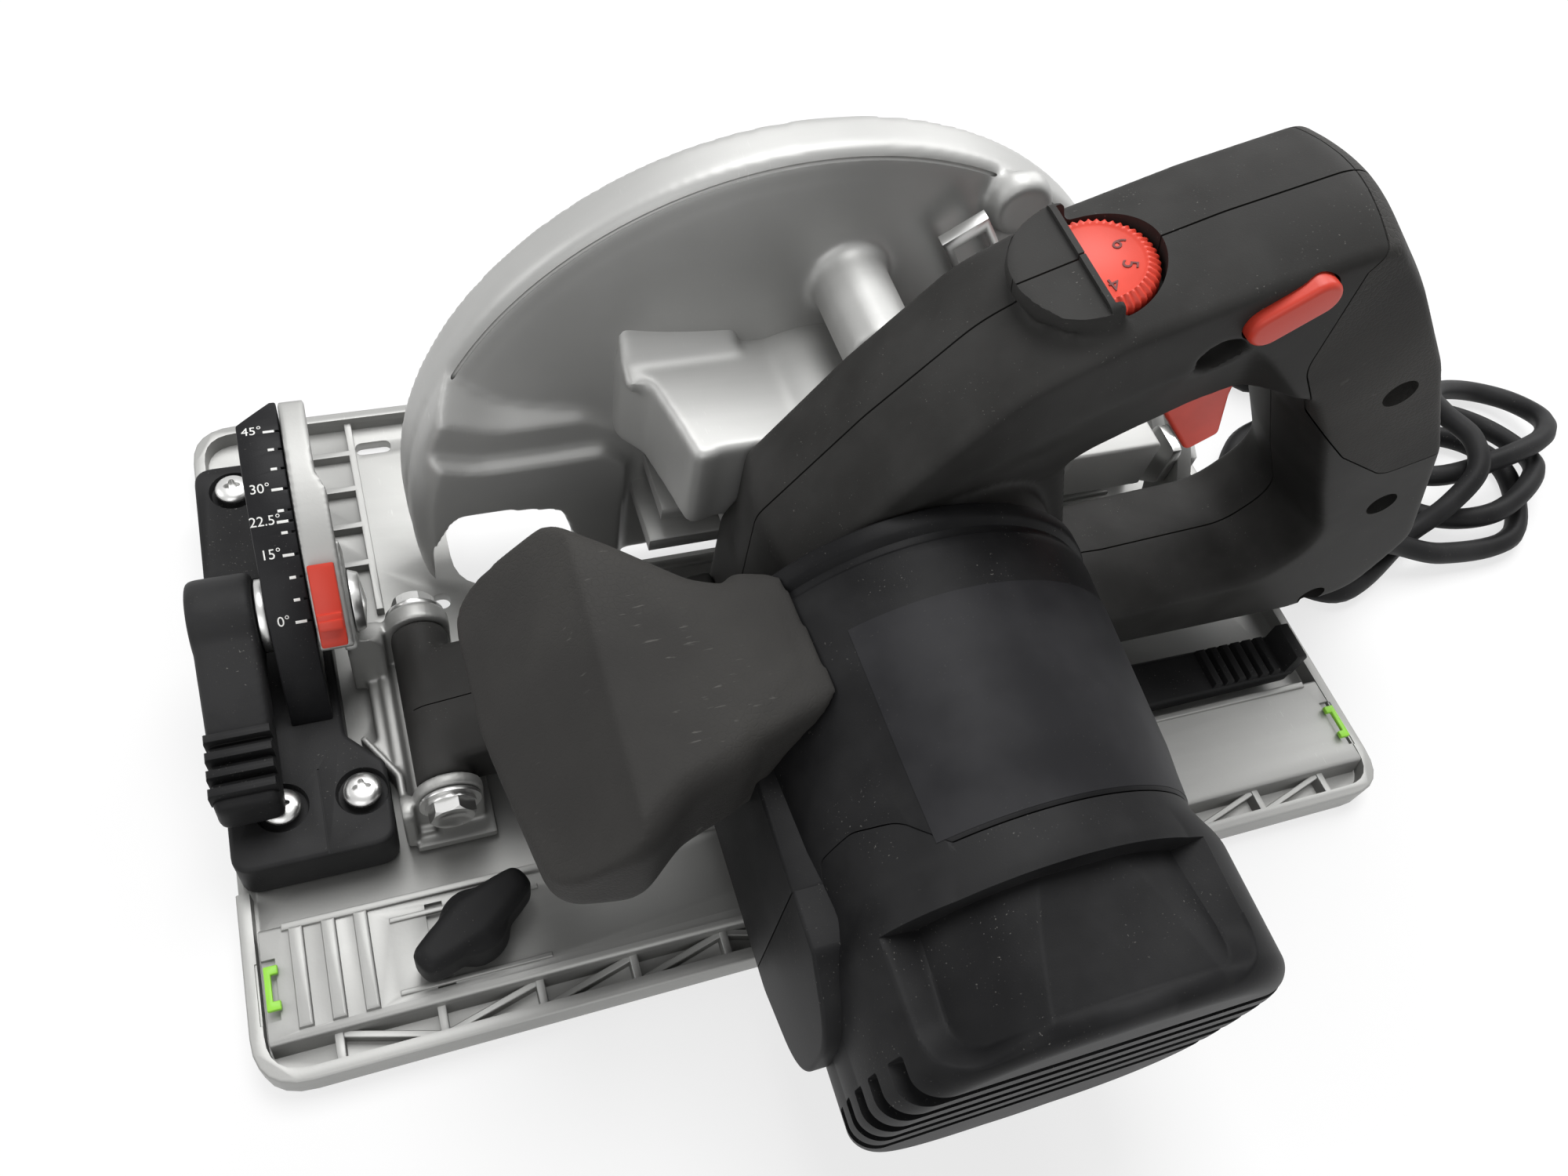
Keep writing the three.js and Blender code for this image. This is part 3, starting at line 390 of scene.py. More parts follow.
def rod(axis, centre, radius, start, end, sides=72):
    """A plain round bar that cuts a bore or trims another piece."""
    return turned("rod", axis, centre, [(0, start), (radius, start), (radius, end), (0, end)], sides)


def round_points(centre, radius, angles):
    """Points (a, b) on a circle about a centre, at the angles given."""
    return [(centre[0] + radius * np.cos(a), centre[1] + radius * np.sin(a)) for a in angles]


def eased(share):
    """A smooth step 3 s^2 - 2 s^3 between 0 and 1."""
    return share * share * (3 - 2 * share)


def arc_steps(points, steps=6):
    """Rounds the corners (a, b, radius) of a closed outline: each corner becomes an arc that starts and ends
    at radius / tan(half its angle) from it, as a quadratic curve through the corner's pull."""
    corners = np.array([(*p, 0)[:3] for p in points], float)
    here, own = corners[:, :2], corners[:, 2]
    before, after = np.roll(here, 1, 0) - here, np.roll(here, -1, 0) - here
    long_b, long_a = np.linalg.norm(before, axis=1), np.linalg.norm(after, axis=1)
    half = np.arccos(np.clip(np.sum(before * after, 1) / long_b / long_a, -1, 1)) / 2
    reach = np.minimum(np.minimum(own / np.tan(half), long_b * 0.49), long_a * 0.49)
    start = here + before / long_b[:, None] * reach[:, None]
    end = here + after / long_a[:, None] * reach[:, None]
    t = np.linspace(0, 1, steps + 1)[None, :, None]
    curve = (1 - t) ** 2 * start[:, None] + 2 * t * (1 - t) * here[:, None] + t**2 * end[:, None]
    kept = [c if r > 0 else c[:1] for c, r in zip(curve, own)]
    return np.concatenate(kept)


def inward(outline):
    """Unit step inwards at each point of an outline, stretched at corners so that offset sides stay true."""
    forward = np.roll(outline, -1, 0) - outline
    forward /= np.linalg.norm(forward, axis=1)[:, None]
    normal = np.stack([-forward[:, 1], forward[:, 0]], 1)
    area = np.sum(outline[:, 0] * np.roll(outline[:, 1], -1) - outline[:, 1] * np.roll(outline[:, 0], -1))
    normal *= np.sign(area)
    both = normal + np.roll(normal, 1, 0)
    return both * 2 / np.sum(both**2, axis=1)[:, None]


def round_over(start, end, edge, run, steps=5):
    """Layers (inset, along) for a rim rounded by a quarter ellipse at each end."""
    t = np.linspace(0, np.pi / 2, steps + 1)
    inset, drop = edge * (1 - np.sin(t)), run * (1 - np.cos(t))
    low = np.stack([inset, start + drop], 1)
    high = np.stack([inset[::-1], end - drop[::-1]], 1)
    return np.concatenate([low, high])


def prism(name, axis, points, start=0, end=0, edge=0.4, run=None, steps=3, corner_steps=6, layers=None):
    """An outline carried along an axis from start to end, with its rims rounded over, or through the layers
    given. At layer (inset, along) the outline moves inwards by inset."""
    outline = arc_steps(points, corner_steps)
    if layers is None:
        layers = round_over(start, end, edge, edge if run is None else run, steps)
    ring = outline[None] + inward(outline)[None] * np.asarray(layers)[:, 0, None, None]
    along = np.repeat(np.asarray(layers)[:, 1, None], len(outline), 1)
    return solid(name, *skin(place(ring[..., 0], ring[..., 1], along, axis)))


def block(name, x0, x1, y0, y1, z0, z1, edge=0.4):
    """A rectangular block with its edges rounded."""
    return prism(name, "z", [(x0, y0), (x1, y0), (x1, y1), (x0, y1)], z0, z1, edge, corner_steps=1, steps=2)


# %% Joining, cutting and finishing
def settled(piece):
    """Replaces a piece's mesh by what its modifiers make of it."""
    bpy.context.view_layer.update()
    seen = piece.evaluated_get(bpy.context.evaluated_depsgraph_get())
    mesh = bpy.data.meshes.new_from_object(seen)
    piece.modifiers.clear()
    piece.data = mesh
    return piece


def carve(piece, *others, how="DIFFERENCE"):
    """Cuts the others out of the piece and takes them away. Where the fast solver finds nothing left, the
    exact one is asked."""
    for other in others:
        before = piece.data
        for solver in ("MANIFOLD", "EXACT"):
            piece.data = before
            step = piece.modifiers.new("cut", "BOOLEAN")
            step.operation, step.solver, step.object = how, solver, other
            if len(settled(piece).data.polygons):
                break
            print(solver, how, piece.name, other.name, "left nothing")
        bpy.data.objects.remove(other)
    return piece


def join(piece, *others):
    """Joins the others to the piece and takes them away."""
    return carve(piece, *others, how="UNION")


def keep(piece, other):
    """Keeps only what the piece has in common with the other."""
    return carve(piece, other, how="INTERSECT")


def soften(piece, voxel=0.9, rounds=8):
    """Remeshes a piece in even cells of voxel millimetres and smooths it, which rounds every edge and lets
    joined shapes flow into each other."""
    cells = piece.modifiers.new("cells", "REMESH")
    cells.mode, cells.voxel_size = "VOXEL", voxel * MM
    smooth = piece.modifiers.new("smooth", "SMOOTH")
    smooth.factor, smooth.iterations = 0.5, rounds
    return settled(piece)


def crisp(piece, width=0.5, segments=2, angle=32):
    """Bevels the hard edges of a piece."""
    bevel = piece.modifiers.new("edges", "BEVEL")
    bevel.width, bevel.segments = width * MM, segments
    bevel.limit_method, bevel.angle_limit = "ANGLE", np.radians(angle)
    return settled(piece)


def finish(piece, material, body, slot, replaces=(), angle=40):
    """Gives a piece its finish and shading, and says what it rides on and which CAD nodes it stands for."""
    piece.data.materials.clear()
    piece.data.materials.append(material)
    piece.data.shade_smooth()
    piece.data.set_sharp_from_angle(angle=np.radians(angle))
    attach(piece, body)
    if replaces:
        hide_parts(*replaces)
    return piece


def from_cad(width, material, body, slot, *nodes, segments=2):
    """Finished copies of CAD nodes: each is merged, with its flat faces made whole and its hard edges
    bevelled."""
    for node in nodes:
        mesh = NODES[node].data.copy()
        work = bmesh.new()
        work.from_mesh(mesh)
        bmesh.ops.remove_doubles(work, verts=work.verts, dist=0.00002)
        bmesh.ops.dissolve_limit(work, angle_limit=np.radians(1.0), verts=work.verts, edges=work.edges)
        work.to_mesh(mesh)
        work.free()
        finish(crisp(placed(node + "_finished", mesh), width, segments), material, body, slot, [node])


def dress(material, *nodes):
    """Gives CAD nodes that keep their own shape a finish."""
    for node in nodes:
        NODES[node].data.materials.clear()
        NODES[node].data.materials.append(material)


# %% [markdown]
# ## Mains cord
# The cord leaves the strain relief at the foot of the grip, lies in loose loops behind the saw, and the rest
# of its length is wound into a neat coil of eleven and a half turns: three rows side by side and four layers
# high. Its route is a list of points, and a centripetal Catmull-Rom curve through them can't overshoot at a
# bend.

# %% The cord's route
CORD_RADIUS = 3.5
LOOPS = [
    (189.8, -20, 15.4), (199, -20.6, 12), (220, -24.2, 6), (254, -21.5, 4), (269, 3, 4), (263, 16, 4),
    (248, 23.5, 4), (231, 21.5, 4), (219, 11, 4), (220, -3, 4), (230, -12, 6.4), (246, -15.5, 10.6),
    (272, -3, 11.3), (278, 9, 7), (274, 23, 4), (260, 32.5, 4), (226, 33, 9), (214, 22, 11.4),
    (218, 7.5, 12.2), (231, 1, 12.8), (267, 2.5, 18), (282, 8.5, 16), (292, 19, 10.5), (290.5, 31, 6),
    (279, 39, 4.6), (250, 33, 14.5), (243, 20, 20), (244, 7, 22), (239, -4, 20.6), (227, -11, 14),
    (213, -14.5, 5.2), (175, -29, 4), (159.5, -16, 4), (159, 12, 4), (174, 33, 4), (204.6, 41.6, 4),
]
TAIL = [(180, 128.9, 24.4), (170, 125.6, 22), (160, 123.4, 19.2), (150, 123, 19)]
COIL_CENTRE = (220, 95)
COIL_RADII = np.tile((45.5, 38.5, 31.5, 31.5, 38.5, 45.5), 3)
COIL_HEIGHTS = 3.8 + 7.0 * (np.arange(18) // 3)


def coil(start, end, turns):
    """Turns of cord about the coil's centre: the angle grows evenly, and over the last 15 % of each whole
    turn the radius and the height pass smoothly to the next row or layer."""
    angle = np.linspace(np.radians(start), np.radians(end) + 2 * np.pi * turns, turns * 18)
    count = (angle - angle[0]) / (2 * np.pi)
    whole = np.floor(count)
    part = eased(np.clip((count - whole - 0.85) / 0.15, 0, 1))
    row = whole.astype(int)
    radius, height = (v[row] * (1 - part) + v[row + 1] * part for v in (COIL_RADII, COIL_HEIGHTS))
    return place(COIL_CENTRE[0] + radius * np.cos(angle),
                 COIL_CENTRE[1] + radius * np.sin(angle), height, "z")


def smooth_path(points, samples=6):
    """Centripetal Catmull-Rom: knots are spaced by the square root of the distance between points, and each
    stretch blends three straight lines through its four nearest points."""
    p = np.asarray(points, float)
    p = np.vstack([2 * p[0] - p[1], p, 2 * p[-1] - p[-2]])
    knot = np.concatenate([[0], np.cumsum(np.sqrt(np.linalg.norm(np.diff(p, axis=0), axis=1)))])
    t = [knot[i : len(knot) - 3 + i, None, None] for i in range(4)]
    q = [p[i : len(p) - 3 + i, None, :] for i in range(4)]
    s = t[1] + (t[2] - t[1]) * np.linspace(0, 1, samples, endpoint=False)[None, :, None]

    def mix(a, b, i, j):
        return ((t[j] - s) * a + (s - t[i]) * b) / (t[j] - t[i])

    first = [mix(q[i], q[i + 1], i, i + 1) for i in range(3)]
    second = [mix(first[0], first[1], 0, 2), mix(first[1], first[2], 1, 3)]
    curve = mix(second[0], second[1], 1, 2).reshape(-1, 3)
    return np.vstack([curve, p[-2]])


def cord_curve(name, points):
    """A round cord along the points, as one open spline with a thickness."""
    data = bpy.data.curves.new(name, "CURVE")
    data.dimensions = "3D"
    data.bevel_depth = CORD_RADIUS * MM
    data.bevel_resolution = 3
    data.use_fill_caps = True
    line = data.splines.new("POLY")
    line.points.add(len(points) - 1)
    line.points.foreach_set("co", np.column_stack([points * MM, np.ones(len(points))]).ravel())
    return placed(name, data)


loops = smooth_path(LOOPS, 10)
turns = coil(285, 110, 12)
tail = smooth_path([turns[-1], *TAIL], 8)
join_loops = smooth_path([loops[-2], loops[-1], turns[0], turns[1]], 8)[8:16]
cord_points = np.vstack([loops[:-1], join_loops, turns, tail[1:]])


# %% [markdown]
# ## Plug and strain relief
# The moulded plug is a turned body with two pins. The strain relief is a turned sleeve that narrows from 14
# to 10 mm, with shallow grooves that let it bend.

# %% Cord, plug and strain relief
def moved(piece, slope, x, y, z):
    """Turns a piece about Y by slope degrees, nose up, then carries it to a place in millimetres."""
    c, s = np.cos(np.radians(slope)), np.sin(np.radians(slope))
    piece.data.transform(stance([[c, 0, -s], [0, 1, 0], [s, 0, c]], np.array([x, y, z]) * MM))
    return piece


PLUG = (149.8, 123, 19)
plug_profile = [
    (0, -0.3), (4.4, -0.3), (5, -1), (5.6, -8), (6.5, -16), (9.5, -20.5), (14, -24.5),
    (17.4, -28), (18.5, -32), (18.5, -51), (18, -52.8), (16.8, -53.5), (0, -53.5),
]
plug = turned("plug_body", "x", PLUG[1:], [(r, PLUG[0] + a) for r, a in plug_profile], 64)
for z0, z1, lift in ((34, 39, 0), (1.2, -1, -0.0006)):
    finger_groove = block("finger_groove", 88, 110, PLUG[1] - 3, PLUG[1] + 3, z0, z1, 0.3)
    finger_groove.data.transform(Matrix.Translation((0, 0, lift)))
    carve(plug, finger_groove)
crisp(plug, 0.6)


def plug_pin(name, aside):
    """A round pin with a chamfered tip, at a distance aside from the plug's middle."""
    profile = [(0, 97), (2.4, 97), (2.4, 79.6), (1.9, 78.3), (0, 77.8)]
    return turned(name, "x", (PLUG[1] + aside, PLUG[2]), profile, 24)


pins = join(plug_pin("plug_pins", 9.5), plug_pin("pin", -9.5))

SEAM = -20.0
RELIEF = dict(x=158, z=31, length=34, slope=-26)
along = np.linspace(-6, RELIEF["length"], 121)
taper = 7 - 1.8 * (along + 6) / 40
wave = np.sin((along - 4) / 30 * 2 * np.pi * 6)
groove = 0.55 * np.clip(wave * 3 - 1.6, 0, 1) * (along > 4) * (along < 32)
sleeve = [(0, -6), *zip(taper - groove, along), (4, RELIEF["length"] + 0.2), (0, RELIEF["length"] + 0.2)]
relief = moved(turned("strain_relief_sleeve", "x", (0, 0), sleeve, 40),
               RELIEF["slope"], RELIEF["x"], SEAM, RELIEF["z"])
finish(relief, CORD_RUBBER, "saw_body", "cord_rubber", ["strain_relief"])
finish(plug, CORD_RUBBER, "saw_body", "cord_rubber", ["mains_plug"])
finish(pins, BRIGHT_STEEL, "saw_body", "bright_steel")

cord = cord_curve("mains_cord", cord_points)
cord.data.materials.append(CORD_RUBBER)
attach(cord, "saw_body")
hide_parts("cord", "cord_tail", "cord_coil")


# %% [markdown]
# ## Sole
# The sole is a pressure-cast plate with a raised rim, a rail channel along the motor side, stiffening ribs,
# and a long slot for the blade. Outlines carried upwards make the plate, the rim and the ribs, and a narrow
# bevel on every edge gives the soft cast look.

# %% Base plate
SOLE = dict(x=150, y=93, floor=3, rim=8, wall=3, corner=12)
RAIL_END = 146


def rectangle(x0, x1, y0, y1, corner):
    """The outline of a rectangle with its corners rounded."""
    return [(x0, y0, corner), (x1, y0, corner), (x1, y1, corner), (x0, y1, corner)]


def lying(name, x0, x1, outline, edge=0.3):
    """A prism along X from an outline in (y, z)."""
    return prism(name, "x", outline, x0, x1, edge, steps=2)


def bar(name, start, end, width, z0, z1):
    """An upright bar from one plan point to another."""
    start, end = np.array(start, float), np.array(end, float)
    along = (end - start) / np.linalg.norm(end - start)
    side = np.array([-along[1], along[0]]) * width / 2
    plan = [tuple(start - side), tuple(end - side), tuple(end + side), tuple(start + side)]
    return prism(name, "z", plan, z0, z1, 0.2, corner_steps=1, steps=1)


def sole_plate():
    x, y, wall = SOLE["x"], SOLE["y"], SOLE["wall"]
    plate = prism("sole_plate", "z", rectangle(-x, x, -y, y, SOLE["corner"]), 0, SOLE["floor"], 0.2)
    rim = prism("rim", "z", rectangle(-x, x, -y, y, SOLE["corner"]), 0.1, SOLE["rim"], 0.6)
    carve(rim, prism("inside", "z",
                     rectangle(-x + wall, x - wall, -y + wall, y - wall, SOLE["corner"] - wall), -1, 12, 0),
          block("gap", -x - 1, -140, -48, 72, SOLE["floor"], 12, 0.1))
    rail = lying("rail", -RAIL_END, RAIL_END, [(-85.5, 1.5), (-84, 9, 1.2), (-58, 9, 1.2), (-56, 1.5)])
    carve(rail, block("groove", -110, -106, -81, -61, 7.2, 12, 0.1))
    ribs = [block("ridge", a - 1.6, a + 1.6, -82, -59, 8, 10.2, 0.7) for a in (-138, -131, -124)]
    ribs += [block("end_rib", a - 1, a + 1, -90.6, -83, 2, 7, 0.3) for a in range(-132, 140, 22)]
    for count, a in enumerate(range(-132, 118, 22)):
        low, high = (-90.5, -84.4) if count % 4 else (-84.4, -90.5)
        ribs.append(bar("brace", (a, low), (a + 22, high), 1.5, 2, 6.6))
    ribs += [block("far_rib", -119, -107, a - 1, a + 1, 2, 6, 0.3) for a in (40, 53, 66, 79)]
    ribs += [
        block("cross_rib", -109, -107, 24, 91, 2, 6, 0.3),
        block("slot_rib", -80, 118, 22.5, 25.5, 2, 4.5, 0.5),
        block("channel_edge", -141, 141, -59.4, -57.6, 8, 9.9, 0.4),
        block("pocket_rib_1", -118, -84, -80.6, -79.4, 8.4, 9.7, 0.3),
        block("pocket_rib_2", -118, -84, -63.6, -62.4, 8.4, 9.7, 0.3),
    ]
    join(plate, rim, rail, *ribs)
    carve(
        plate,
        prism("slot", "z", rectangle(-87, 112, 27.5, 58, 12), -1, 20, 0),
        prism("long_hole", "z", rectangle(-107, -97, 80, 84.5, 2.2), -1, 20, 0),
        prism("round_hole", "z", rectangle(-94.5, -89.5, 22.5, 27.5, 2.5), -1, 20, 0),
        block("end_notch", -147.5, -143, -79, -65, 7.6, 12, 0.2),
        block("rear_notch", 143, 147.5, -79, -65, 7.6, 12, 0.2),
    )
    return crisp(plate, 0.45, 2, 30)


finish(sole_plate(), SOLE_CAST, "sole", "die_cast", ["base_plate"])
from_cad(0.25, GREEN, "sole", "clip_green", "glide_clip_front", "glide_clip_rear")


# %% [markdown]
# ## Front block with its screws
# A black moulded block carries the bevel arc. Pan-head screws with a cross-shaped recess hold it down.

# %% Block and screws
BLOCK_SCREWS = ((-139.5, 62), (-119, -33), (-137, -33))


def front_block():
    plan = [(-149, -47, 5), (-113, -47, 5), (-113, -26, 3), (-121, -17, 3), (-121, 71, 5), (-149, 71, 5)]
    made = prism("moulded_block", "z", plan, 3.3, 17, 1.2, steps=4)
    carve(
        made,
        *[block("line", -150, -121.5, a - 0.35, a + 0.35, 16.3, 18, 0.05) for a in (24, 32)],
        block("line", -128.3, -127.9, -48, -25, 16.7, 18, 0.02),
        *[turned("sink", "z", (a, b), [(0, 15.2), (5.6, 15.2), (6.4, 18), (0, 18)], 36)
          for a, b in BLOCK_SCREWS],
    )
    return crisp(made, 0.35, 2, 35)


def pan_screw(name, x, y, z):
    """A pan-head screw: an elliptic dome with a recess of four round lobes, and its shank."""
    t = np.linspace(0, np.pi / 2, 9)
    dome = [(0, z - 9), (2.9, z - 9), (2.9, z - 0.2), (4.3, z - 0.2), (4.5, z + 0.3),
            *zip(4.5 * np.cos(t[:-1]) ** 0.7, z + 0.3 + 1.8 * np.sin(t[:-1])), (0, z + 2.1)]
    head = turned(name, "z", (x, y), dome, 40)
    turn = np.linspace(0, 2 * np.pi, 72, endpoint=False)
    reach = 1.75 + 0.45 * np.cos(4 * turn)
    lobes = list(zip(x + reach * np.cos(turn), y + reach * np.sin(turn)))
    carve(head, prism("recess", "z", lobes, z + 0.6, z + 4, 0))
    return head


finish(front_block(), BLOCK, "sole", "block_plastic", ["front_block"])
for count, (x, y) in enumerate(BLOCK_SCREWS, 1):
    finish(pan_screw(f"pan_screw_{count}", x, y, 17.2), BRIGHT_STEEL, "sole", "bright_steel",
           [f"block_screw_{count}"])


# %% [markdown]
# ## Bevel arc
# Two arc plates stand side by side on the block: a black scale and a cast quadrant with a curved slot for the
# clamp bolt. Angles are counted about the tilt line from the motor side. The scale's digits are text made
# into a mesh and wrapped onto the rim: along X stays as it is, and height becomes an angle.

# %% Arc plates
TILT_Y = 45.0
RIM = 60.0
ZERO = 43.0
SLOT_ENDS = (ZERO - 6, ZERO + 51)
MARKED = (0, 5, 10, 15, 20, 22.5, 25, 30, 35, 40, 45)
NUMBERED = (0, 15, 22.5, 30, 45)


def arc_band(inner, outer, start, end, steps=40):
    """The outline in (y, z) between two radii and two bevel angles: y = 45 - r cos a, z = r sin a."""
    a = np.radians(np.linspace(start, end, steps + 1))
    out = np.stack([TILT_Y - outer * np.cos(a), outer * np.sin(a)], 1)
    back = np.stack([TILT_Y - inner * np.cos(a[::-1]), inner * np.sin(a[::-1])], 1)
    return [tuple(p) for p in np.vstack([out, back])]


def arc_plate(name, x0, x1, edge):
    plate = lying(name, x0, x1, arc_band(42, RIM, 5, 97), edge)
    carve(plate, lying("slot", -140, -100, arc_band(43.7, 52.3, *SLOT_ENDS), 0),
          block("foot", -200, -50, -60, 120, -40, 17.3, 0.01))
    return plate


scale = arc_plate("angle_scale", -132.5, -123, 0.4)
carve(scale, prism("slant", "z", [(-134, 44.5), (-134, 56), (-122, 56), (-123.6, 53)], 0, 90, 0))
for degrees in MARKED:
    a = np.radians(ZERO + degrees)
    spot = np.array([TILT_Y - RIM * np.cos(a), RIM * np.sin(a)])
    notch = block("notch", -123.9, -122, -0.3, 0.3, -1.0, 1.0, 0)
    notch.data.transform(stance([[1, 0, 0], [0, np.sin(a), -np.cos(a)], [0, np.cos(a), np.sin(a)]],
                                (0, *spot * MM)))
    carve(scale, notch)
crisp(scale, 0.3, 2, 40)
finish(scale, SCALE_PLATE, "sole", "block_plastic", ["bevel_scale"])
quadrant = arc_plate("cast_quadrant", -122.7, -117.5, 0.2)
join(quadrant, lying("flange", -119, -114.7, arc_band(58.3, RIM, ZERO - 8, 97), 0.2))
carve(quadrant, lying("lower_end", -130, -110, arc_band(30, 70, -20, ZERO - 8), 0),
      prism("guard_room", "z", [(-113, 22), (-115, 27), (-116.5, 31), (-116.6, 60), (-113, 60)], 40, 70, 0))
soften(quadrant, 0.6, 4)
finish(quadrant, SOLE_CAST, "sole", "die_cast", ["bevel_quadrant"])
rear = lying("rear_arc", 128, 133, arc_band(26, 42, 10, 98), 0.2)
carve(rear, lying("slot", 120, 140, arc_band(30.8, 37.2, *SLOT_ENDS), 0),
      block("foot", 120, 145, -60, 120, -40, 3.3, 0.01))
join(rear, block("shoe", 128, 142, 4, 18, 3.3, 8, 0.3))
finish(crisp(rear, 0.6, 2, 40), SOLE_CAST, "sole", "die_cast", ["rear_quadrant"])


# %% Scale marks
def wrap_on_rim(mesh, x, degrees, radius):
    """Carries a flat mesh (u, v, w) onto the rim: x = place + u, angle = degrees + v / r, and w outwards."""
    flat = np.empty(len(mesh.vertices) * 3)
    mesh.vertices.foreach_get("co", flat)
    u, v, w = flat.reshape(-1, 3).T
    a = np.radians(degrees) + v / radius
    r = radius + w
    out = np.stack([x + u, TILT_Y - r * np.cos(a), r * np.sin(a)], 1) * MM
    mesh.vertices.foreach_set("co", out.ravel())
    mesh.update()


def raised_text(text, size, depth):
    """A short text as a thin mesh in millimetres, centred."""
    data = bpy.data.curves.new("text", "FONT")
    data.body, data.size = text, size
    data.align_x, data.align_y = "CENTER", "CENTER"
    data.extrude = depth / 2
    made = placed("text", data)
    bpy.context.view_layer.update()
    mesh = bpy.data.meshes.new_from_object(made.evaluated_get(bpy.context.evaluated_depsgraph_get()))
    bpy.data.objects.remove(made)
    tidy(mesh, 0.0001)
    return mesh


def gather(name, meshes):
    """One object from several meshes."""
    work = bmesh.new()
    for mesh in meshes:
        work.from_mesh(mesh)
    whole = bpy.data.meshes.new(name)
    work.to_mesh(whole)
    work.free()
    return placed(name, whole)


marks = []
for degrees in NUMBERED:
    mesh = raised_text(f"{degrees:g}°", 3.3, 0.12)
    wrap_on_rim(mesh, -129.1, ZERO + degrees + 0.6, RIM + 0.02)
    marks.append(mesh)
for degrees in MARKED:
    long = 1.25 if degrees in NUMBERED else 0.7
    tick = block("tick", -long, long, -0.33, 0.33, -0.1, 0.1, 0.02)
    tick.data.transform(Matrix.Scale(1000, 4))
    wrap_on_rim(tick.data, -125.4, ZERO + degrees, RIM + 0.02)
    marks.append(tick.data)
    bpy.data.objects.remove(tick)
finish(gather("scale_marks", marks), MARKS, "sole", "block_plastic")

# %% [markdown]
# ## Tilting frame, clamp and lever
# The red pointer rides over the rim of the quadrant. The lever is moulded: a round head on the clamp bolt and
# an arm with four grip ribs. The cast bracket is put together from plates and then remeshed, so that its ribs
# run into each other with small fillets.

# %% Pointer, lever, bolts and bracket
pointer = lying("angle_pointer", -122, -116, arc_band(RIM + 0.3, RIM + 3.2, ZERO - 6, ZERO + 12, 16), 0.5)
join(pointer, lying("ridge", -121.8, -116.2, arc_band(RIM + 1, RIM + 4.8, ZERO - 1.9, ZERO + 0.1, 3), 0.5),
     lying("ridge_2", -121.8, -116.2, arc_band(RIM + 1, RIM + 4.2, ZERO - 0.2, ZERO + 1.4, 3), 0.4))
finish(crisp(pointer, 0.35, 2, 30), RED, "tilt_frame", "control_red", ["bevel_pointer"])

CLAMP_RADIUS = 48
CLAMP = (TILT_Y - CLAMP_RADIUS * np.cos(np.radians(ZERO)), CLAMP_RADIUS * np.sin(np.radians(ZERO)))
PIVOT = (-100, 20)


def clamp_lever():
    y, z = CLAMP
    head = turned("clamp_lever", "x", CLAMP,
                  [(0, -150), (9.4, -150), (10.6, -149.5), (11, -148.4), (11, -136.4),
                   (10.3, -135.3), (0, -135.3)], 64)
    arm = lying("arm", -149.6, -135.5, [
        (y + 3, z + 10, 4), (y - 8, z + 7, 10), (-24, 30, 10), (-37, 31, 3), (-38, 20, 3), (-26, 19.5, 6),
        (y - 12, 23, 10), (y + 3, z - 10, 4),
    ], 1.6)
    join(head, arm)
    soften(head, 0.8, 6)
    ribs = [block("rib", -150, -135.6, a - 1.2, a + 1.2, 27, 32.9, 0.9) for a in (-33.5, -29, -24.5, -20)]
    join(head, *ribs)
    gaps = [block("gap", -151, -130, a - 0.9, a + 0.9, 29.8, 36, 0.3) for a in (-31.25, -26.75, -22.25)]
    carve(head, *gaps)
    carve(head, rod("x", CLAMP, 3.9, -148.3, -130, 32))
    return head


finish(clamp_lever(), BLOCK, "bevel_clamp", "block_plastic", ["bevel_lever"])
from_cad(0.3, BRIGHT_STEEL, "tilt_frame", "bright_steel", "clamp_bolt", "clamp_washer")


def ear(name, y0, y1, foot):
    """An upright plate with a round top about the depth pivot."""
    top = round_points(PIVOT, 8, np.linspace(0, np.pi, 24))
    return prism(name, "y", [(-92, foot), *top, (-108, foot)], y0, y1, 0.5)


def bevel_bracket():
    """The casting that tilts: a short curved shoe against the quadrant, a low wall, a joint and an arm
    between the two, a rib that runs slantwise over a shelf, and a foot with an ear at each side."""
    made = lying("cast_bracket", -117.2, -114.2, arc_band(40.5, 57.8, 33, 60, 20), 0.3)
    wall = lying("wall", -111.2, -108.4,
                 [(-44, 3.6), (6, 3.6), (6, 9), (-33, 9, 3), (-38, 20, 4), (-44, 21, 3)], 0.5)
    joint = prism("joint", "y", [(-116.8, 16), (-116.8, 31, 1), (-113.6, 31, 1), (-108.6, 23.4, 2),
                                 (-108.6, 16)], 1.5, 9, 0.6)
    arm = block("arm", -117.2, -108.6, 1.5, 10, 4, 22.5, 0.8)
    rib = prism("rib", "z", [(-118.2, -16.2), (-111.3, -28.5), (-111.3, -43), (-109.4, -43),
                             (-109.4, -28), (-116.6, -15.8)], 4, 12, 0.5)
    shelf = prism("shelf", "z", [(-114.2, 6), (-114.2, -15.6), (-117, -16.5), (-111.2, -28.5),
                                 (-111.2, -43), (-104, -43), (-104, 6)], 3.6, 8, 0.4)
    foot = block("foot", -109, -90, -46, 8, 3.6, 6.2, 0.4)
    arm_2 = block("arm_2", -108, -92, 5.4, 10, 3.6, 20, 0.4)
    join(made, wall, joint, arm, rib, shelf, foot, arm_2, ear("near_ear", -41, -38, 3.6),
         ear("far_ear", 5.4, 10, 3.6))
    carve(made, turned("clamp_room", "x", CLAMP,
                       [(0, -130), (4.2, -130), (4.2, -114.2), (10, -114.2), (10, -108.5), (0, -108.5)], 48),
          rod("y", PIVOT, 3.9, -50, 20, 32))
    return soften(made, 0.55, 4)


finish(bevel_bracket(), SOLE_CAST, "tilt_frame", "die_cast", ["bevel_bracket"])


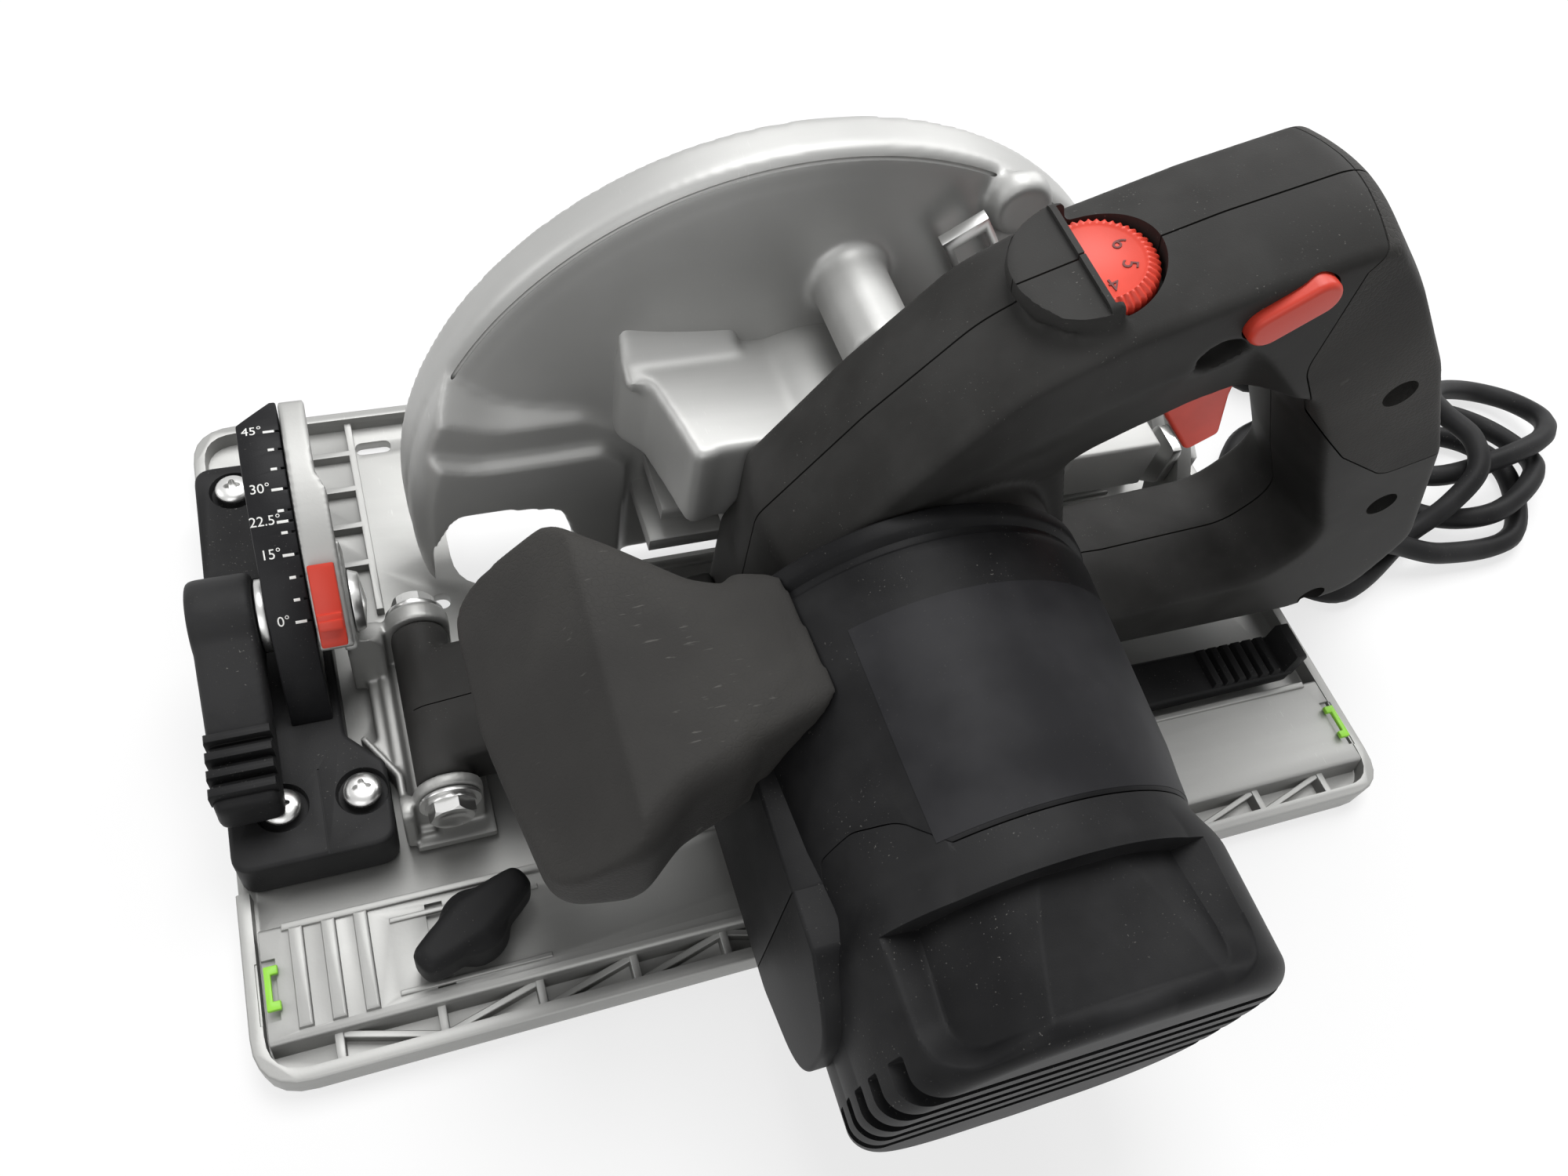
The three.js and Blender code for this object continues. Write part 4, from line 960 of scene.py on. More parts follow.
def pivot_bolt(name, face, side):
    """A bolt through the ears: shank, two washers and a chamfered hexagon head. side is -1 on the motor
    side."""
    depth = [(0, 16), (3.6, 16), (3.6, 0), (7, 0), (7.2, -0.4), (7.2, -1.0), (5.9, -1.1),
             (5.9, -2.0), (0, -2.0)]
    made = turned(name, "y", PIVOT, [(r, face - side * d) for r, d in depth], 64)
    corner = round_points(PIVOT, 5.6, np.radians(np.arange(0, 360, 60) + 12))
    low, high = sorted((face + side * 1.9, face + side * 5.0))
    head = prism("head", "y", corner, low, high, 0)
    dome = [(0, 1.8), (5.7, 1.8), (5.7, 4.3), (4.9, 5.0), (3.2, 5.0), (2.6, 4.5), (0, 4.5)]
    keep(head, turned("dome", "y", PIVOT, [(r, face + side * d) for r, d in dome], 48))
    return join(made, head)


finish(pivot_bolt("near_pivot_bolt", -41.3, -1), BRIGHT_STEEL, "tilt_frame", "bright_steel",
       ["pivot_bolt_near"])
finish(pivot_bolt("far_pivot_bolt", 10.3, 1), BRIGHT_STEEL, "tilt_frame", "bright_steel", ["pivot_bolt_far"])
from_cad(0.3, BRIGHT_STEEL, "tilt_frame", "bright_steel", "depth_guide")


# %% Winged screw
def winged_screw():
    """A hub with two rounded wings that lean out from it."""
    hub = turned("winged_screw", "z", (0, 0),
                 [(0, 9.3), (7.4, 9.3), (8, 10), (7.6, 19.4), (6.6, 20.2), (0, 20.2)], 48)
    wings = []
    for degrees in (30, 210):
        wing = prism("wing", "z", [(-2, -6.4, 2), (9, -4.6, 4), (15, -3.2, 3), (15, 3.2, 3),
                                   (9, 4.6, 4), (-2, 6.4, 2)], 10.6, 22, 2.2, steps=4)
        wing.data.transform(Matrix.Rotation(np.radians(degrees), 4, "Z"))
        wings.append(wing)
    join(hub, *wings)
    soften(hub, 0.6, 10)
    hub.data.transform(Matrix.Translation((-0.1, -0.071, 0)))
    return hub


finish(winged_screw(), BLOCK, "guide_screw", "block_plastic", ["fence_screw"])


# %% [markdown]
# ## Blade guard
# The upper guard is cast in one piece: a dished wall, a round-over, and a narrow rim with a step before it.
# At the front the wall swells towards the motor side in waves. The turned shell and the swellings are
# joined, remeshed in even cells and smoothed, so that they flow into each other as in the casting.

# %% Upper guard
HUB = (6, 30)


def wall_face(r):
    """Where the wall's near face is along Y: 30.6 + 6.8 (r / 100)^4."""
    return 30.6 + 6.8 * (r / 100.0) ** 4


def guard_shell():
    """The turned wall: a dished near face, then a step and a flat rim, and back along the inside."""
    r = np.linspace(20, 100, 60)
    face = list(zip(r, wall_face(r)))
    rim = [(101.4, 38.2), (102.4, 39.3), (102.6, 40.4), (102.6, 50.1), (102.2, 50.5), (60, 50.5),
           (60, 49.1), (99.7, 49.1)]
    inner = [(99.9, 41.4), (99.2, 38.8), (97.5, 38.0), (93, 37.6), (60, 36.6), (20, 36.5)]
    return turned("blade_guard", "y", HUB, [*face, *rim, *inner, face[0]], 200)


def swelling(name, outline, far, near, inset):
    """A wave of the wall: its outline at the far face moves in by inset towards the near face."""
    t = np.linspace(0, np.pi / 2, 9)
    layers = np.stack([inset * np.cos(t), near + (far - near) * (1 - np.cos(t))], 1)
    return prism(name, "y", outline, layers=layers, corner_steps=10)


def duct():
    """The way that the sawdust takes out of the guard."""
    return block("duct", 91, 130, 17, 60, 21.6, 35, 0.5)


def upper_guard():
    guard = guard_shell()
    r = np.concatenate([[0, 60], np.linspace(90, 102.3, 40)])
    limit = 25.6 + 7.5 * (1 - np.sqrt(1 - np.clip((r - 95.1) / 7.2, 0, 1) ** 2))
    limits = turned("limits", "y", HUB, [*zip(r, limit), (102.3, 45), (0, 45)], 200)
    low = swelling("low", [(-130, -20), (-35.5, -20), (-35.5, 52, 12), (-46, 61, 10),
                           (-62, 60.5, 10), (-79, 60.5, 16), (-98, 68, 8), (-130, 70)], 38, 26.4, 7)
    high = swelling("high", [(-130, -20), (-20, -20), (-29, 60, 16), (-51, 73, 16),
                             (-73, 73, 16), (-94, 82, 10), (-130, 84)], 38, 29.6, 9)
    join(low, high)
    keep(low, limits)
    carve(low, rod("y", HUB, 99.6, 36.6, 60, 160))
    bosses = [
        turned("boss", "y", (10, 100),
               [(0, 6), (8.4, 6), (9, 7), (9.2, 30), (9.8, 32), (9.8, 36), (0, 36)], 64),
        turned("boss_2", "y", (51, 117),
               [(0, 30.4), (6.6, 30.4), (7.6, 31.4), (8.2, 34), (8.2, 37), (0, 37)], 64),
    ]
    join(guard, low, *bosses)
    carve(
        guard,
        block("under", -150, 150, 0, 60, -100, 7, 0),
        block("under_2", -150, 150, 44, 60, -10, 12, 0),
        block("under_3", -120, 150, 46, 60, -10, 20, 0),
        prism("arch", "y", [(-93, -20), (-92, 24, 8), (-86, 37, 5), (-72, 36.4, 10), (-59, 34, 5),
                            (-55, 20, 8), (-50, -20)], 0, 44, 0, corner_steps=10),
        duct(),
    )
    soften(guard, 1.1, 6)
    step = round_points((100.3, 37.6), 0.5, np.linspace(0, 2 * np.pi, 9)[:-1])
    groove = turned("step", "y", HUB, [*step, step[0]], 200)
    carve(groove, block("no_groove", -150, 0, 20, 60, -60, 74, 0))
    carve(guard, groove)
    return guard


finish(upper_guard(), GUARD_CAST, "saw_body", "guard_cast", ["upper_guard"], angle=50)
spout = carve(block("dust_duct", 88, 118, 14, 34.2, 18.6, 38, 1.2), duct())
finish(crisp(spout, 0.4), GUARD_CAST, "saw_body", "guard_cast", ["dust_spout"])


# %% Gear housing and lower guard
MOTOR = (4, 58)


def gear_housing():
    """Two round bosses, a raised platform with sloped sides, and cooling fins, hollowed for the gear."""
    body = turned("gear_casting", "y", MOTOR, [(0, -0.7), (28, -0.7), (29, 0.5), (29, 34.2), (0, 34.2)], 96)
    lower = turned("lower", "y", HUB, [(0, -0.7), (24, -0.7), (24.8, 0.5), (24.8, 34.2), (0, 34.2)], 96)
    top = prism("top", "z", [(-46, 34.2), (-45, 27.5, 4), (-40, 21.5, 6), (-37, 8, 6),
                             (-35, -2.6, 3), (-28, -0.7, 2), (4, -0.7), (4, 34.2)], 58, 84, 1.2, 2, steps=5)
    rise = prism("rise", "x", [(23, 83), (27, 84), (30, 86, 3), (32.4, 89, 2), (34.2, 93), (34.2, 80),
                               (23, 80)], -45, -16, 0.5)
    join(body, lower, top, rise)
    carve(body, rod("y", MOTOR, 24.5, -2, 29, 64), rod("y", HUB, 22.4, -2, 29, 64))
    soften(body, 1.0, 8)
    fins = [block("fin", -40 + 3 * i, -12, 9 + 2 * i, 34.1, z, z + 4.5, 0.7)
            for i, z in enumerate((34, 44, 54))]
    sleeve = turned("sleeve", "y", HUB, [(8.4, 30), (15.8, 30), (15.8, 39.6), (8.4, 39.6), (8.4, 30)], 64)
    join(body, *fins, sleeve)
    carve(body, rod("y", HUB, 8.4, 20, 45, 48), rod("x", (22, 30), 4, -60, 0, 32))
    return crisp(body, 0.2, 1, 60)


finish(gear_housing(), GUARD_CAST, "saw_body", "guard_cast", ["gear_housing"])


def fan_outline(inner, outer):
    """The outline in (x, z) between two radii about the blade's hub, over the folding guard's angles."""
    a = np.radians(np.linspace(-13.8, 153, 61))
    return round_points(HUB, outer, a) + round_points(HUB, inner, a[::-1])


def lower_guard():
    """A folding cover: a rim with a wall each side, and a collar round the spindle's sleeve."""
    rim = prism("folding_guard", "y", fan_outline(96.1, 97.5), 38.2, 48.6, 0.15)
    near = prism("near_wall", "y", fan_outline(18, 97.4), 38.2, 39.6, 0.1)
    far = prism("far_wall", "y", fan_outline(74, 97.4), 47.2, 48.6, 0.1)
    collar = turned("collar", "y", HUB,
                    [(16.1, 38.2), (25, 38.2), (25, 39.6), (16.1, 39.6), (16.1, 38.2)], 64)
    join(rim, near, far, collar)
    return crisp(rim, 0.3, 2, 40)


finish(lower_guard(), GUARD_CAST, "swing_guard", "guard_cast", ["lower_guard"])


# %% [markdown]
# ## Motor housing and end cap
# The housing is a tapering barrel. Its seam with the end cap dips forward in a tongue, a long pad stands on
# its front side, and a bare label lies over its top. The cap is a rounded box that grows out of the barrel,
# with a sunk field on top, whose walls slope, and long vents round its front corner.

# %% Motor barrel
BARREL = [
    (28, -39.3), (46.6, -39.3), (47.2, -39.9), (47.2, -43), (46.7, -43.9), (45.7, -44.6),
    (45.7, -46.2), (46.4, -47), (46.55, -49), (44.1, -93), (43.3, -99), (42.8, -104.4), (42.5, -105),
    (39.5, -105), (39.5, -45.3), (28, -42.3), (28, -39.3),
]
PAD = [(-42, 26, 2), (-42, 73, 2), (-112, 73, 3), (-127, 62, 26), (-127, 34, 20), (-105, 26, 8)]
TONGUE = [(-112, 72.8), (-100, 72.8), (-96, 75, 3), (-95, 84, 5), (-97.5, 91, 5), (-104, 94.5, 4), (-112, 96)]


def barrel_radius(y):
    """The barrel's radius at a place along Y, from its straight stretches."""
    return np.interp(y, [-105, -99, -93, -49], [42.7, 43.3, 44.1, 46.55])


def long_pad(*others):
    """The pad on the front side, with the others cut out of it."""
    return carve(prism("pad", "x", PAD, layers=round_over(-42.9, -19, 0.8, 0.8), corner_steps=16), *others)


def motor_housing():
    barrel = turned("motor_barrel", "y", MOTOR, BARREL, 180)
    pad = long_pad(rod("y", MOTOR, 41, -160, -30, 120), block("near_part", -60, 0, -140, -100.1, 0, 90, 0))
    join(barrel, pad)
    carve(barrel, prism("tongue_gap", "x", TONGUE, -60, -10, 0))
    return crisp(barrel, 0.35, 2, 35)


finish(motor_housing(), HOUSING, "saw_body", "housing_plastic", ["motor_housing"])


def label_film():
    """A bare film over the top of the barrel: an arc just outside the barrel's radius for each place along Y,
    closed by a second arc just inside it."""
    y = np.linspace(-59, -104.2, 24)[:, None]
    a = np.radians(np.linspace(124, 12, 60))
    out, back = barrel_radius(y) + 0.14, barrel_radius(y) - 0.3
    radius = np.hstack([out + 0 * a, back + 0 * a])
    angle = np.concatenate([a, a[::-1]])
    grid = place(MOTOR[0] + radius * np.cos(angle), MOTOR[1] + radius * np.sin(angle), y + 0 * angle, "y")
    return solid("bare_label", *skin(grid))


finish(label_film(), LABEL, "saw_body", "housing_plastic", angle=30)


# %% End cap
CAP_END = -144.0
CAP_ROUND = 5.4
UNROLLED = 44
RECESS = dict(far=-115.4, near=-142.6, left=145.0, right=50.0, corner=11.0, slope=3.6)


def outline_radius(points, angle):
    """The distance from the motor's axis to a rounded outline, read off at each angle."""
    outline = arc_steps(points, 40) - MOTOR
    own = np.arctan2(outline[:, 1], outline[:, 0])
    order = np.argsort(own)
    return np.interp(angle, own[order], np.hypot(*outline.T)[order], period=2 * np.pi)


def recess_depth(arc, y):
    """How far inside the recess a place is, from 0 at its rim to 1 on its floor. The recess is a rectangle
    with two round corners on the unrolled cap; its far wall is upright, and the other walls slope."""
    low, high = -np.radians(RECESS["left"]) * UNROLLED, -np.radians(RECESS["right"]) * UNROLLED
    beside = np.abs(arc - (low + high) / 2) - (high - low) / 2 + RECESS["corner"]
    beyond = RECESS["near"] + RECESS["corner"] - y
    within = np.minimum(np.maximum(beside, beyond), 0)
    outside = np.hypot(np.maximum(beside, 0), np.maximum(beyond, 0)) + within
    inside = np.clip((RECESS["corner"] - outside) / RECESS["slope"], 0, 1)
    return inside * (y < RECESS["far"])


def cap_body():
    """Rings of angle and place along Y. The radius runs from the round band to a rounded box, a recess sinks
    into the top, and the near end rounds over by a quarter ellipse."""
    y = np.concatenate([[-105.3], np.linspace(-105.8, -115.3, 12), [-115.45], np.linspace(-116, -138, 45),
                        CAP_END + CAP_ROUND * (1 - np.sin(np.linspace(0, np.pi / 2, 22)))])[:, None]
    a = np.radians(np.linspace(-180, 180, 540, endpoint=False))[None]
    box = outline_radius([(-39, 15, 34), (47, 15, 34), (47, 96.6, 36), (-39, 96.6, 36)], a[0])[None]
    share = eased(np.clip((-106.5 - y) / 10, 0, 1))
    band = np.minimum(42.5 + 0.9 * (y + 105.3) / -10, 43.2) + 0 * a
    out = band * (1 - share) + box * share
    upper = np.sin(a) > 0
    out = np.where(upper & (y > RECESS["far"]), np.maximum(out, band), out)
    floor = np.minimum(38.0 + 0.11 * (RECESS["far"] - y), 37.0 / np.maximum(np.sin(a), 0.2))
    depth = np.maximum(out - floor, 0) * recess_depth(-a * UNROLLED, y)
    turn = np.clip((CAP_END + CAP_ROUND - y) / CAP_ROUND, 0, 1)
    radius = out - depth - 6.5 * (1 - np.sqrt(1 - turn**2 * 0.9999))
    grid = place(MOTOR[0] + radius * np.cos(a), MOTOR[1] + radius * np.sin(a), y + 0 * a, "y")
    return solid("motor_cap", *skin(grid))


def end_cap():
    cap = cap_body()
    carve(cap, rod("y", MOTOR, 35, -100, -137, 96))
    slot_plan = [(-60, -135), (-60, -160), (60, -160), (60, -139.4), (30, -139.4),
                 (-24, -139.4, 9), (-34.4, -135, 3)]
    for z in (75.6, 66.6, 57.6, 48.6, 39.6):
        carve(cap, prism("vent", "z", slot_plan, z, z + 4.4, 0.6))
    pad = long_pad(block("far_part", -60, 0, -99.8, -30, 0, 90, 0), rod("y", MOTOR, 40.6, -160, -30, 120))
    tongue = prism("tongue", "x", TONGUE, layers=[(0.25, -60), (0.25, -10)])
    ring = turned("ring", "y", MOTOR,
                  [(39.6, -112), (42.6, -112), (42.7, -105), (43.3, -99), (44.1, -93), (39.6, -93),
                   (39.6, -112)], 160)
    keep(ring, tongue)
    join(cap, pad, ring)
    return cap


finish(end_cap(), HOUSING, "saw_body", "housing_plastic", ["end_cap"], angle=45)
print("motor housing and cap done")


# %% [markdown]
# ## Main handle
# The handle is two mirrored shells with a rubber overmould on the grip. Its side view is carried across the
# width, and it pulls in from the seam by 3 (d / 17)^1.8, where d is the distance from the seam, which gives
# the crowned top. Below a crease the lower flanks slant inwards. Only then are the shells cut apart, so that
# their surfaces stay one.

# %% Handle shape
SEAM_GAP = 0.22
HANDLE_VIEW = [
    (-27, 24, 8), (-16, 14.5, 10), (46, 14.5, 20), (72, 17.5, 20), (140, 17.5, 12),
    (163, 22, 16), (170, 50, 18), (149, 93, 30), (124, 127, 30), (102, 151, 10), (84, 167.5, 10),
    (56, 159, 20), (30, 149, 20), (11, 137, 30), (-8, 113, 30), (-27, 84, 8),
]
OPENING = [
    (43, 98, 9), (66, 113, 14), (86, 119, 10), (99, 103, 16), (112, 80, 20), (126, 58, 14),
    (116, 45, 12), (78, 42, 10), (62, 43, 9), (54, 68, 14),
]
GRIP_AREA = [(88, 178), (78, 158), (80, 131, 12), (96, 110, 12), (112, 96, 8), (131, 85, 8), (142, 89, 8),
             (190, 106), (190, 178)]
FLANK = [(-14, 60), (-14, 98.6, 6), (-9, 101.7), (13.6, 117.5, 60), (39.5, 132.3),
         (52, 138.4, 20), (61, 142.3, 3), (67, 138, 4), (88, 119), (88, 100), (58, 80)]
HANDLE_SCREWS = ((114, 118), (141, 71), (146, 26))
DIAL = dict(x=32.5, z=146.6, slope=17.0)
LOCK = dict(x=64.5, z=151, reach=5.2, lean=38)


def crown_layers(sign=1, extra=0.0):
    """Layers (inset, y) across the handle: 3 (d / 17)^1.8 up to 17 mm from the seam, then a 2 mm round."""
    t = np.linspace(0, np.pi / 2, 6)[1:]
    d = np.concatenate([np.linspace(0, 17, 10), 17 + 2 * np.sin(t)])
    inset = np.concatenate([3 * (d[:10] / 17) ** 1.8, 3 + 2 * (1 - np.cos(t))])
    if extra:
        d, inset = np.append(d, 19 + extra), np.append(inset, inset[-1])
    inset = sign * inset
    return np.concatenate([np.stack([inset[::-1], SEAM - d[::-1]], 1),
                           np.stack([inset[1:], SEAM + d[1:]], 1)])


def flank_cut(side):
    """A cut that slants a lower flank inwards: its outline shifts 1.51 mm along X and 2.47 mm down for each
    millimetre in. side is -1 on the motor side."""
    face = SEAM + side * 19.4
    low, high = sorted((face + side * 20, face - side * 12.5))
    made = prism("flank", "y", FLANK, low, high, 0, corner_steps=10)
    lean = Matrix.Identity(4)
    lean[0][1], lean[2][1] = 1.51 * -side, -2.47 * -side
    lean[0][3], lean[2][3] = -lean[0][1] * face * MM, -lean[2][1] * face * MM
    made.data.transform(lean)
    return made


def handle_shape():
    whole = prism("whole", "y", HANDLE_VIEW, layers=crown_layers(), corner_steps=12)
    neck = placed("neck", whole.data.copy())
    keep(neck, rod("y", MOTOR, 44.5, -60, 60, 96))
    notch = rod("y", (55.5, 138.5), 5.2, -50, -31, 48)
    carve(whole, flank_cut(-1), flank_cut(1), notch)
    join(whole, neck)
    carve(whole, prism("opening", "y", OPENING, layers=crown_layers(-1, extra=4), corner_steps=12))
    square = prism("square", "y", [(-27, 24, 8), (-16, 14.5, 10), (56, 14.5, 12), (40, 60), (30, 84),
                                   (-14, 84), (-27, 60, 8)], -39, -1, 1.2, corner_steps=8)
    plateau = turned("plateau", "z", (0, 0), [(0, 0.5), (15.4, 0.5), (15.0, 5.4), (14.4, 6.0), (0, 6.0)], 96)
    keep(plateau, block("lip_side", -20, 1.5, -20, 20, 0, 10, 0.2))
    moved(plateau, DIAL["slope"], DIAL["x"] - 2, SEAM, DIAL["z"])
    join(whole, square, plateau)
    return soften(whole, 1.05, 6)


def dial_pocket():
    """The dial's round pocket, open above on its rear half, and a sloped cut that leaves a lip before it."""
    low = rod("z", (0, 0), 13.2, -3.4, 3.8, 96)
    top = turned("top", "z", (0, 0), [(0, -3.4), (13.3, -3.4), (13.4, 4), (14.2, 30), (0, 30)], 96)
    keep(top, block("half", -2.4, 40, -40, 40, -10, 40, 0))
    well = turned("well", "z", (-1, 0), [(0, 1), (15.6, 1), (16.2, 30), (0, 30)], 96)
    slope = prism("slope", "y", [(-30, 2.8), (-3.6, 5.3), (-3.6, 40), (-30, 40)], -30, 30, 0)
    keep(well, slope)
    join(low, top, well)
    return moved(low, DIAL["slope"], DIAL["x"], SEAM, DIAL["z"])


def lock_outline(radius):
    """The lock button's long round outline in (x, z): two half circles at +-reach along a leaning line."""
    a = np.radians(LOCK["lean"])
    t = a + np.linspace(-np.pi / 2, np.pi / 2, 16)
    half = LOCK["reach"] * np.array([np.cos(a), np.sin(a)]) + radius * np.stack([np.cos(t), np.sin(t)], 1)
    return [tuple(p) for p in np.vstack([half, -half]) + (LOCK["x"], LOCK["z"])]


def handle_hollows():
    hollows = [
        rod("y", MOTOR, 22, -40, 0, 64),
        block("switch_room", 60, 96, -30, -10, 127, 148, 0),
        prism("trigger_room", "y", [(57, 96), (57, 130), (82, 130), (90, 96)], -27, -13, 0.5),
        dial_pocket(),
        rod("z", (DIAL["x"] + 3, SEAM), 4, DIAL["z"] - 14, DIAL["z"], 24),
        prism("lock_hole", "y", lock_outline(4.75), -42, -28, 0),
        moved(turned("sleeve_hole", "x", (0, 0), [(0, -6.5), (7.4, -6.5), (5.6, 34), (0, 34)], 40),
              RELIEF["slope"], RELIEF["x"], SEAM, RELIEF["z"]),
    ]
    for x, z in HANDLE_SCREWS:
        hollows.append(turned("screw_hole", "y", (x, z),
                              [(0, -42), (4.3, -42), (3.9, -30), (2.2, -30), (2.2, -12), (0, -12)], 40))
    return hollows


def one_side(piece, name, y0, y1):
    """A copy of the piece between two places along Y."""
    return keep(placed(name, piece.data.copy()), block("side", -200, 300, y0, y1, -50, 300, 0))


whole = handle_shape()
carve(whole, *handle_hollows())
shell = placed("shell", whole.data.copy())
carve(shell, prism("grip_cut", "y", GRIP_AREA, -60, 20, 0, corner_steps=10))
near_half = one_side(shell, "handle_near_shell", -80, SEAM - SEAM_GAP)
far_half = one_side(shell, "handle_far_shell", SEAM + SEAM_GAP, 60)
bpy.data.objects.remove(shell)
grip_area = prism("grip_keep", "y", GRIP_AREA, layers=[(0.35, -60), (0.35, 20)], corner_steps=10)
keep(whole, grip_area)
seam_ring = prism("seam_ring", "y", HANDLE_VIEW,
                  layers=[(-3, SEAM - SEAM_GAP), (-3, SEAM + SEAM_GAP)], corner_steps=12)
carve(seam_ring, prism("seam_core", "y", HANDLE_VIEW,
                       layers=[(0.9, SEAM - 1), (0.9, SEAM + 1)], corner_steps=12))
carve(whole, seam_ring)
whole.name = "rubber_grip"
for piece, material, slot, node in (
    (near_half, HANDLE_SHELL, "housing_plastic", "handle_near_half"),
    (far_half, HANDLE_SHELL, "housing_plastic", "handle_far_half"),
    (whole, SOFT_GRIP, "soft_grip", "grip_cover"),
):
    finish(piece, material, "saw_body", slot, [node], angle=45)
    print(piece.name, len(piece.data.polygons), "faces")
from_cad(0.2, DARK_STEEL, "saw_body", "bright_steel", *[f"handle_screw_{count}" for count in (1, 2, 3)])


# %% [markdown]
# ## Front handle and hinge arm
# The front handle is a wide soft bar on a neck. Its outline from above is carried upwards with a large
# round-over, its front is cut off at a slope, and the remesh rounds the crease between the two.

# %% Front handle
def front_handle():
    plan = [(-28.3, -43), (-47, -36, 12), (-60, -25, 14), (-72, -16, 10), (-94, -18, 14),
            (-93, -52, 60), (-86.5, -90, 9), (-70, -92.5, 9), (-60, -84, 14), (-48, -80, 14), (-28, -66)]
    t = np.linspace(0, np.pi / 2, 9)
    layers = [(8 * (1 - np.sin(a)), 62 + 8 * (1 - np.cos(a))) for a in t]
    layers += [(5.5 * (1 - np.cos(a)), 85 + 8 * np.sin(a)) for a in t]
    made = prism("soft_front_handle", "z", plan, layers=layers, corner_steps=10)
    carve(made, prism("slope", "y",
                      [(-112, 56), (-112, 120), (-60, 120), (-70.5, 92), (-99, 63.5)], -120, 20, 0))
    neck = prism("neck", "z", [(-52, -79, 4), (-40, -36.5, 3), (-28, -39.4), (-14, -44), (-14, -70),
                               (-28, -72, 8)], 60, 92.5, 3.5, 5, steps=5)
    join(made, neck)
    carve(made, turned("barrel_room", "y", MOTOR,
                       [(0, -120), (43.0, -120), (43.6, -99), (46.9, -47), (47.6, -39.2), (0, -39.2)], 120),
          block("handle_room", -27.3, 10, -39.3, 20, 40, 120, 0))
    return soften(made, 0.9, 10)


finish(front_handle(), SOFT_GRIP, "saw_body", "soft_grip", ["front_handle"], angle=50)


def hinge_arm():
    made = turned("hinge_casting", "y", PIVOT,
                  [(0, -37.7), (6.4, -37.7), (6.9, -37.1), (6.9, 4.5), (6.4, 5.1), (0, 5.1)], 64)
    arm = prism("arm", "y", [(-100, 13.5), (-100, 26.9), (-80, 30, 10), (-27.3, 40), (-27.3, 20),
                             (-80, 13.5, 10)], -35, -3, 1.5)
    join(made, arm)
    soften(made, 0.8, 6)
    carve(made, rod("y", PIVOT, 3.9, -50, 20, 32),
          block("line", -110, -28, -19.15, -18.85, 25, 50, 0))
    return made


finish(hinge_arm(), HANDLE_SHELL, "saw_body", "housing_plastic", ["hinge_arm"])


# %% [markdown]
# ## Controls
# The red controls are the trigger, the long lock button and the speed dial. The dial's rim is a wave of
# forty-eight teeth, and its digits are raised numbers.

# %% Trigger, lock and dial
trigger = prism("switch_trigger", "y",
                [(61, 128, 2), (60.5, 111, 6), (77.5, 91, 2), (84.5, 96, 2), (80, 110, 8), (77, 128, 2)],
                -26.5, -13.5, 1.2, steps=5)
finish(trigger, RED, "switch_trigger", "control_red", ["trigger"])
lock = prism("lock_key", "y", lock_outline(4.3), -41.6, -31, 1.3, steps=6)
finish(lock, RED, "lock_off", "control_red", ["lock_button"])


def dial_wheel():
    """Rings (radius, height, share) round the dial's axis: the radius is cut back by 0.65 |cos 24 t|^1.5
    times the share, which falls off over the chamfer."""
    rings = [(0.01, -2.8, 0), (11.4, -2.8, 0), (12.1, -2.4, 1), (12.5, -1.8, 1),
             (12.5, 1.4, 1), (12.1, 2.0, 1), (10.5, 3.2, 0.9), (9.9, 3.4, 0), (9.5, 3.2, 0),
             (9.1, 2.9, 0), (0.01, 2.9, 0)]
    radius, height, wave = np.array(rings).T
    t = np.linspace(0, 2 * np.pi, 480, endpoint=False)
    tooth = 0.65 * np.abs(np.cos(24 * t)) ** 1.5
    r = radius[:, None] - wave[:, None] * tooth
    grid = place(r * np.cos(t), r * np.sin(t), height[:, None] + 0 * t, "z")
    return moved(solid("speed_wheel", *skin(grid)), DIAL["slope"], DIAL["x"], SEAM, DIAL["z"])


